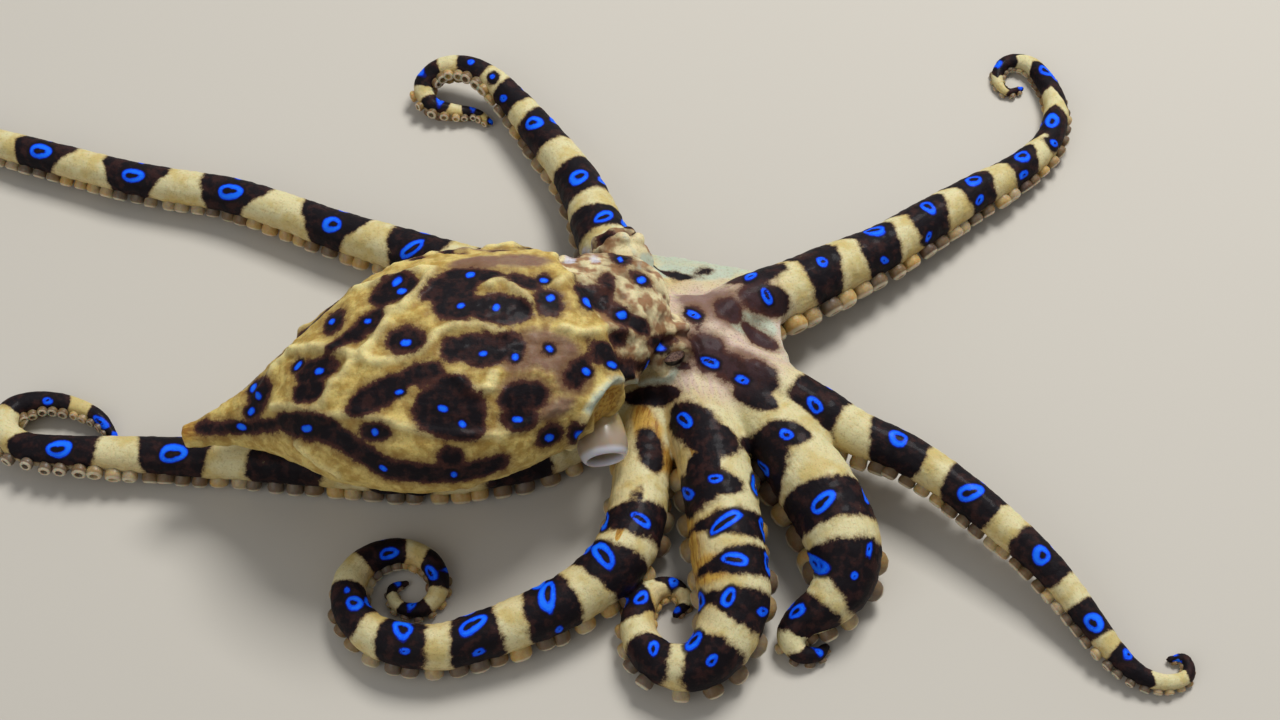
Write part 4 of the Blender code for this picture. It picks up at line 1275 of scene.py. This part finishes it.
def skin_ground(shader, place, coarse, medium, fine):
    """The pale colours of the skin under its dark and blue markings, and the noise of its fibres."""
    streaks = shader.noise(shader.field("streak", "Vector"), 0.4, 4.0)
    apart = shader.maths("SUBTRACT", 1.0, shader.field("meeting"))
    fibres = shader.maths("MULTIPLY_ADD", shader.maths("SUBTRACT", streaks, 0.5), apart, 0.5)
    golden = shader.mix(shader.ramp(fibres, 0.55, 0.38), GOLD, GOLD_DEEP)
    arm = arm_ground(shader, coarse, fibres, golden)
    body = body_ground(shader, place, medium, fibres)
    ground = shader.mix(shader.ramp(shader.field("body"), 0.3, 0.7), arm, body)
    crown = shader.field("crown")
    flesh = shader.mix(shader.ramp(fibres, 0.4, 0.6), PINK, shader.mix(coarse, PINK, CREAM))
    ground = shader.mix(shader.ramp(crown, 0.1, 0.6), ground, flesh)
    ground = shader.mix(shader.field("web"), ground, MINT)
    for name, noise_on_it, roughness, low, high, top, tone in (
        ("mauve", medium, 0.8, 0.9, -0.5, 0.85, MAUVE),
        ("gold", medium, 0.8, 0.9, 0.0, 1.0, golden),
        ("mint", fine, 0.5, 0.55, 0.0, 1.0, MINT),
        ("star", fine, 0.9, 0.75, 0.2, 0.7, STAR),
    ):
        gap = shader.plus(shader.field(name), shader.times(noise_on_it, roughness))
        ground = shader.mix(shader.ramp(gap, low, high, top), ground, tone)
    stipple = shader.ramp(shader.noise(place, STIPPLE_SIZE, 1.0), 0.56, 0.68)
    stipple = shader.times(stipple, shader.maths("MULTIPLY_ADD", crown, 0.30, 0.20))
    ground = shader.mix(stipple, ground, shader.mix(crown, DARK_EDGE, MAUVE))
    return shader.mix(shader.field("under"), ground, SUCKER), fibres


def dark_marks(shader, skin, dark, medium):
    """Brown halo, soft edge and ink of the dark markings, over the skin."""
    crown = shader.ramp(shader.field("crown"), 0.2, 0.7)
    soft = shader.maths("MAXIMUM", crown, shader.field("body"))
    ink = shader.mix(crown, DARK, DARK_CROWN)
    ink = shader.mix(shader.ramp(medium, 0.45, 0.65), ink, DARK_SOFT)
    brown = shader.mix(soft, DARK_SOFT, DARK_BROWN)
    halo = shader.ramp(dark, shader.maths("MULTIPLY_ADD", soft, 0.5, 0.55), 0.05, 0.6)
    skin = shader.mix(halo, skin, DARK_EDGE)
    skin = shader.mix(shader.ramp(dark, 0.24, -0.1), skin, brown)
    return shader.mix(shader.ramp(dark, 0.0, shader.maths("MULTIPLY_ADD", soft, -0.35, -0.2)), skin, ink)


def blue_marks(shader, skin, fine):
    """Blue rings and dots with a dark rim and a lighter middle line, over the skin."""
    blue = shader.plus(shader.field("blue"), shader.sway(fine, 0.16))
    skin = shader.mix(shader.ramp(blue, 0.4, 0.1, 0.9), skin, DARK)
    tone = shader.mix(shader.ramp(blue, 0.0, -0.08), BLUE_DEEP, BLUE)
    tone = shader.mix(shader.ramp(blue, -0.10, -0.22), tone, BLUE_LIGHT)
    return shader.mix(shader.ramp(blue, 0.08, -0.02), skin, tone)


def skin_material():
    shader = Shader("octopus_skin")
    place = shader.place()
    coarse, medium = shader.noise(place, COARSE_SIZE), shader.noise(place, MEDIUM_SIZE)
    fine, grain = shader.noise(place, FINE_SIZE, 4.0), shader.noise(place, GRAIN_SIZE, 2.0)
    skin, fibres = skin_ground(shader, place, coarse, medium, fine)
    dark = shader.field("dark")
    for unevenness, size in ((fine, 0.5), (medium, 1.0), (grain, 0.35)):
        dark = shader.plus(dark, shader.sway(unevenness, size))
    skin = blue_marks(shader, dark_marks(shader, skin, dark, medium), fine)
    height = shader.plus(shader.times(fine, 0.7), shader.times(fibres, 0.5))
    height = shader.plus(height, shader.times(grain, 0.3))
    rough = shader.plus(shader.maths("MULTIPLY_ADD", fine, 0.2, 0.45), shader.ramp(dark, 0.2, -0.1, 0.12))
    shader.set(base_color=skin, roughness=rough)
    shader.set(normal=shader.bump(height, 0.00009), specular_ior_level=0.14)
    shader.set(subsurface_weight=0.12, subsurface_scale=0.0004, coat_weight=0.03, coat_roughness=0.15)
    return shader.material


def sucker_material():
    shader = Shader("sucker_flesh")
    place = shader.place()
    coarse, fine = shader.noise(place, 5.0), shader.noise(place, 0.35)
    base = shader.mix(shader.ramp(coarse, 0.4, 0.6), SUCKER, SUCKER_GOLD)
    base = shader.mix(shader.ramp(fine, 0.6, 0.35, 0.4), base, CREAM_DEEP)
    base = shader.mix(shader.times(shader.field("shade"), 0.85), base, DARK_CROWN)
    base = shader.mix(shader.times(shader.field("rim"), 0.8), base, SUCKER_RIM)
    shader.set(base_color=base, roughness=0.45, specular_ior_level=0.35)
    shader.set(normal=shader.bump(fine, 0.00006))
    shader.set(subsurface_weight=0.45, subsurface_scale=0.0007, coat_weight=0.1, coat_roughness=0.2)
    return shader.material


def funnel_material():
    shader = Shader("funnel_flesh")
    bands = shader.noise(shader.place(), 1.6)
    mouth = shader.field("mouth")
    base = shader.mix(shader.ramp(bands, 0.35, 0.7), FUNNEL_SKIN, FUNNEL_PALE)
    base = shader.mix(shader.ramp(mouth, 0.5, 0.85), base, FUNNEL_INSIDE)
    base = shader.mix(shader.ramp(mouth, 0.98, 1.08), base, FUNNEL_LIP)
    shader.set(base_color=base, roughness=0.35)
    shader.set(subsurface_weight=0.4, subsurface_scale=0.001, coat_weight=0.3, coat_roughness=0.15)
    return shader.material


def eye_material():
    shader = Shader("eye_ball")
    speckle = shader.noise(shader.place(), 0.18)
    iris = shader.mix(shader.ramp(speckle, 0.35, 0.65), IRIS_DARK, IRIS_LIGHT)
    iris = shader.mix(shader.ramp(shader.field("iris"), 0.9, 0.5), IRIS_EDGE, iris)
    eye = shader.mix(shader.ramp(shader.field("pupil"), 0.06, -0.02), iris, PUPIL)
    shader.set(base_color=eye, roughness=0.3, coat_weight=0.35, coat_roughness=0.1)
    return shader.material


# Pieces


def dress(obj, material, fields):
    """Gives an object its material, smooth shading and the fields that the material reads."""
    mesh = obj.data
    for name, values in fields.items():
        kind, key = ("FLOAT_VECTOR", "vector") if values.ndim > 1 else ("FLOAT", "value")
        attribute = mesh.attributes.new(name, kind, "POINT")
        attribute.data.foreach_set(key, values.astype(np.float32).ravel())
    mesh.polygons.foreach_set("use_smooth", [True] * len(mesh.polygons))
    mesh.materials.append(material)
    return obj


def arm_meetings(surface, fields):
    """How near each point is to where two arms' skins meet, from 0 to 1."""
    differs = fields.arm[surface.edges[:, 0]] != fields.arm[surface.edges[:, 1]]
    meeting = np.zeros(len(surface.points))
    meeting[surface.edges[differs].ravel()] = 1.0
    for _ in range(MEETING_ROUNDS):
        meeting = np.maximum(0.85 * meeting, surface.average(meeting))
    return np.clip(2.5 * meeting, 0, 1)


def lid_relief(points):
    """Height of the rims and creases round the eyes, in millimetres."""
    relief = np.zeros(len(points))
    for name, middle in EYE_MIDDLES.items():
        way, side, up = eye_way(name)
        away = points - (np.array(middle) + way * LID_FORWARD)
        across, over = away @ side, away @ up
        rho = np.hypot(across / LID_WIDE, over / LID_TALL) + 1e-6
        gap = (rho - 1) * np.hypot(across, over) / rho
        near = np.clip(1.6 - 0.6 * np.abs(away @ way), 0, 1)
        for height, width, place in (LID_RIM, LID_CREASE):
            relief += height * near * np.exp(-(((gap - place) / width) ** 2))
    return relief


def skin_relief(points, fields, marks, meeting):
    """Height of the skin's ridges, lumps and folds, in millimetres."""
    mantle, head = fields.weight["mantle"], fields.weight["head"]
    pale = np.clip(marks.dark / 0.9, 0, 1)
    lumps = field_noise(points, LUMP_SIZE, 1)
    small = field_noise(points, SMALL_SIZE, 2)
    wrinkles = field_noise(points * WRINKLE_STREAK, WRINKLE_SIZE, 3)
    sunken = SUNKEN * np.clip((0.3 - marks.gold) / 0.6, 0, 1) * (points[:, 0] > SUNKEN_FROM)
    on_mantle = 0.24 * pale * (0.7 + 0.6 * lumps) + (0.03 + 0.09 * pale) * wrinkles + 0.05 * small - sunken
    on_head = 0.26 * lumps + 0.07 * small + 0.07 * wrinkles
    across = np.stack([fields.along, 0.35 * fields.angle * fields.radius, 5.0 * fields.arm], axis=1)
    folds = field_noise(across, FOLD_SIZE, 4) * (0.45 + 0.55 * np.clip(np.abs(fields.angle) - 0.4, 0, 1))
    on_arm = np.clip(0.05 * fields.radius, 0.02, 0.14) * folds * (1 - meeting) + 0.03 * small
    ridge = RIDGE_GAIN * marks.ridge * (0.85 + 0.5 * lumps)
    return mantle * on_mantle + head * on_head + (1 - mantle - head) * on_arm + ridge + lid_relief(points)


def skin_regions(surface, points, fields, meeting):
    """The parts of the skin that are coloured in their own ways, from 0 to 1, and its streaks."""
    head = fields.weight["head"]
    body = fields.weight["mantle"] + head
    turn = np.abs(fields.angle)
    crown = np.clip(1.35 - np.linalg.norm(points[:, :2] - PINK_PLACE, axis=1) / PINK_REACH, 0, 1)
    out = np.linalg.norm(points[:, :2] - np.array(CROWN_MIDDLE[:2]), axis=1)
    pale = np.clip((out - PALE_WEB_FROM) / PALE_WEB_FADE, 0, 1)
    web = fields.weight["crown"] * pale * (surface.normals[:, 2] > -0.2)
    under = np.clip((turn - 2.0) / 0.35, 0, 1) * (fields.arm_gap < 0.8)
    golden = np.isin(fields.arm, [ARM_NAMES.index(name) for name in GOLDEN_ARMS])
    flank = 0.5 * np.clip((turn - 1.0) / 0.9, 0, 1) + 0.55 * golden * np.clip(np.sin(fields.angle), 0, 1)
    streak = [fields.along * ARM_STREAK, fields.angle * fields.radius, fields.arm * ARMS_APART]
    streak = np.stack(streak, axis=1)
    streak[body > 0.5] = points[body > 0.5] * BODY_STREAK
    regions = {"crown": crown, "under": under, "flank": np.clip(flank, 0, 1), "meeting": meeting}
    regions = {name: region * (1 - body) for name, region in regions.items()}
    return {"body": body, "head": head, "web": web, "streak": streak, **regions}


def make_skin(arms):
    surface, fields = make_skin_surface(arms)
    marks = make_marks(surface, fields, arms)
    points = surface.points
    meeting = arm_meetings(surface, fields)
    for _ in range(MEETING_ROUNDS):
        marks.dark += 0.5 * meeting * (surface.average(marks.dark) - marks.dark)
    lift = skin_relief(points, fields, marks, meeting)
    surface.move(points + surface.normals * lift[:, None])
    regions = skin_regions(surface, points, fields, meeting)
    girth = np.clip(fields.radius / FULL_EDGE_RADIUS, 0.3, 1.0)
    girth = np.where(regions["body"] > 0.5, 1.0, girth)
    distances = {name: getattr(marks, name) for name in ("blue", "mauve", "mint", "star", "gold", "ridge")}
    surface.put(surface.points * MM + SHIFT)
    skin = link(bpy.data.objects.new("skin", surface.mesh))
    dress(skin, skin_material(), {**regions, **distances, "dark": marks.dark / girth, "lift": lift})
    return skin, marks


def sucker_places(arm):
    """Every sucker: its place along the arm, its side by turns and its cup's radius."""
    places, s, turn = [], SUCKERS_FROM, 1
    while s < arm.length:
        pitch = SUCKER_PITCH + SUCKER_PITCH_SHARE * arm.radius(s)
        places.append((s, turn, SUCKER_CUP * pitch))
        s += pitch / 2
        turn = -turn
    return places


def make_suckers(arm, material, marks):
    points, faces, rims, shades = [], [], [], []
    turns = circle(SUCKER_SIDES)
    ring = np.stack([np.cos(turns), np.sin(turns)], axis=1)
    rand = random.Random(arm.name)
    for s, turn, cup in sucker_places(arm):
        s += rand.uniform(-0.12, 0.12) * cup
        centre, radius, ahead, back, side = arm.at(s)
        tilt = SUCKER_TILT + rand.uniform(-0.14, 0.14)
        out = -math.cos(tilt) * back + turn * math.sin(tilt) * side
        out = out + rand.uniform(-0.12, 0.12) * ahead
        across = np.cross(ahead, out)
        root, tall = radius * SUCKER_ROOT, radius * (SUCKER_TOP - SUCKER_ROOT) * rand.uniform(0.9, 1.05)
        cup *= rand.uniform(0.88, 1.1)
        start = len(points)
        skin_place = marks.tree.find(centre + radius * turn * side)[1]
        shade = min(max(0.5 - marks.dark[skin_place], 0.0), 1.0)
        for k, (height, spread) in enumerate(SUCKER_OUTLINE):
            wave = 1 + 0.04 * np.cos(7 * turns + s)[:, None] * (0.8 < height <= 1.0)
            flat = (ring[:, :1] * ahead + ring[:, 1:] * across) * wave
            points += list(centre + out * (root + tall * height) + flat * cup * spread)
            rims += [float(SUCKER_RIM_FROM <= k <= SUCKER_RIM_TO)] * SUCKER_SIDES
        shades += [shade] * (len(points) - start)
        faces += loft_faces(len(SUCKER_OUTLINE), SUCKER_SIDES, start)
        faces.append(tuple(reversed(range(start, start + SUCKER_SIDES))))
        faces.append(tuple(range(len(points) - SUCKER_SIDES, len(points))))
    points = np.array(points)
    points[:, 2] = np.maximum(points[:, 2], SUCKER_CLEAR)
    obj = add_mesh(arm.name + "_suckers", points, faces)
    return dress(obj, material, {"rim": np.array(rims), "shade": np.array(shades)})


def make_eye(name):
    way, side, up = eye_way(name)
    middle = np.array(EYE_MIDDLES[name])
    points, faces = ellipsoid(middle, EYE_RADIUS, sides=48, tall=32)
    away = (points - middle) / EYE_RADIUS
    across, over, front = away @ side, away @ up, away @ way > 0
    slit = np.hypot(np.maximum(np.abs(across) - PUPIL_LONG, 0), over + PUPIL_LOW) - PUPIL_HALF
    iris = np.hypot(across, over)
    fields = {"pupil": np.where(front, slit, 1.0), "iris": np.where(front, iris, 1.0)}
    return dress(add_mesh(name + "_ball", points, faces), eye_material(), fields)


def make_funnel():
    root, mouth = np.array(FUNNEL_ROOT), np.array(FUNNEL_MOUTH)
    way = unit(mouth - root)
    side = unit(np.cross(way, UP))
    up = np.cross(side, way)
    turns = circle(FUNNEL_SIDES)
    ring = np.cos(turns)[:, None] * side + np.sin(turns)[:, None] * up
    rings = [root + (mouth - root) * share + radius * ring for share, radius in FUNNEL_PROFILE]
    along = np.repeat([share for share, _ in FUNNEL_PROFILE], FUNNEL_SIDES)
    obj = add_mesh("funnel_tube", *closed_loft(rings))
    subdivide = obj.modifiers.new("round", "SUBSURF")
    subdivide.levels = subdivide.render_levels = 2
    return dress(obj, funnel_material(), {"mouth": np.concatenate([along, [0, 0]])})


def make_pieces():
    arms = {name: Arm(name) for name in ROUTES}
    skin, marks = make_skin(arms)
    flesh = [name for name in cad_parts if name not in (*EYE_MIDDLES, "funnel")]
    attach(skin, "root")
    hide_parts(*flesh)
    material = sucker_material()
    for arm in arms.values():
        suckers = make_suckers(arm, material, marks)
        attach(suckers, "root")
    for name in EYE_MIDDLES:
        eye = make_eye(name)
        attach(eye, "root")
        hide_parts(name)
    funnel = make_funnel()
    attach(funnel, "root")
    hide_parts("funnel")


# Stage, light and camera

# The lights' names, places, sizes and powers
LIGHTS = [("key", (0.16, 0.24, 0.42), 0.18, 2.3), ("fill", (-0.35, -0.40, 0.40), 0.5, 0.9)]
SKY_COLOUR = (0.9, 0.93, 1.0, 1)
SKY_STRENGTH = 0.28
# Half the floor's width in metres
FLOOR_SIZE = 2.0


def make_floor():
    size = FLOOR_SIZE
    corners = [(-size, -size, 0), (size, -size, 0), (size, size, 0), (-size, size, 0)]
    floor = add_mesh("floor", corners, [(0, 1, 2, 3)], moved=False)
    shader = Shader("pale_floor")
    shader.set(base_color=FLOOR, roughness=0.8)
    floor.data.materials.append(shader.material)


def make_light(name, place, size, power):
    """A square light that faces the model."""
    lamp = bpy.data.lights.new(name, "AREA")
    lamp.size = size
    lamp.energy = power
    obj = link(bpy.data.objects.new(name, lamp))
    obj.location = place
    obj.rotation_euler = (-Vector(place)).to_track_quat("-Z", "Y").to_euler()


def make_lights():
    for row in LIGHTS:
        make_light(*row)
    world = bpy.data.worlds.new("studio")
    world.use_nodes = True
    background = world.node_tree.nodes["Background"]
    background.inputs["Color"].default_value = SKY_COLOUR
    background.inputs["Strength"].default_value = SKY_STRENGTH
    bpy.context.scene.world = world
    bpy.context.scene.view_settings.view_transform = "Standard"


def make_camera():
    camera = bpy.data.cameras.new("camera")
    camera.lens = LENS
    camera.sensor_width = SENSOR
    camera.clip_start = 0.01
    obj = link(bpy.data.objects.new("camera", camera))
    obj.location = Vector(EYE_POINT * MM + SHIFT)
    obj.rotation_euler = Vector(LOOK).to_track_quat("-Z", "Y").to_euler()
    bpy.context.scene.camera = obj


make_camera()
make_pieces()
make_floor()
make_lights()
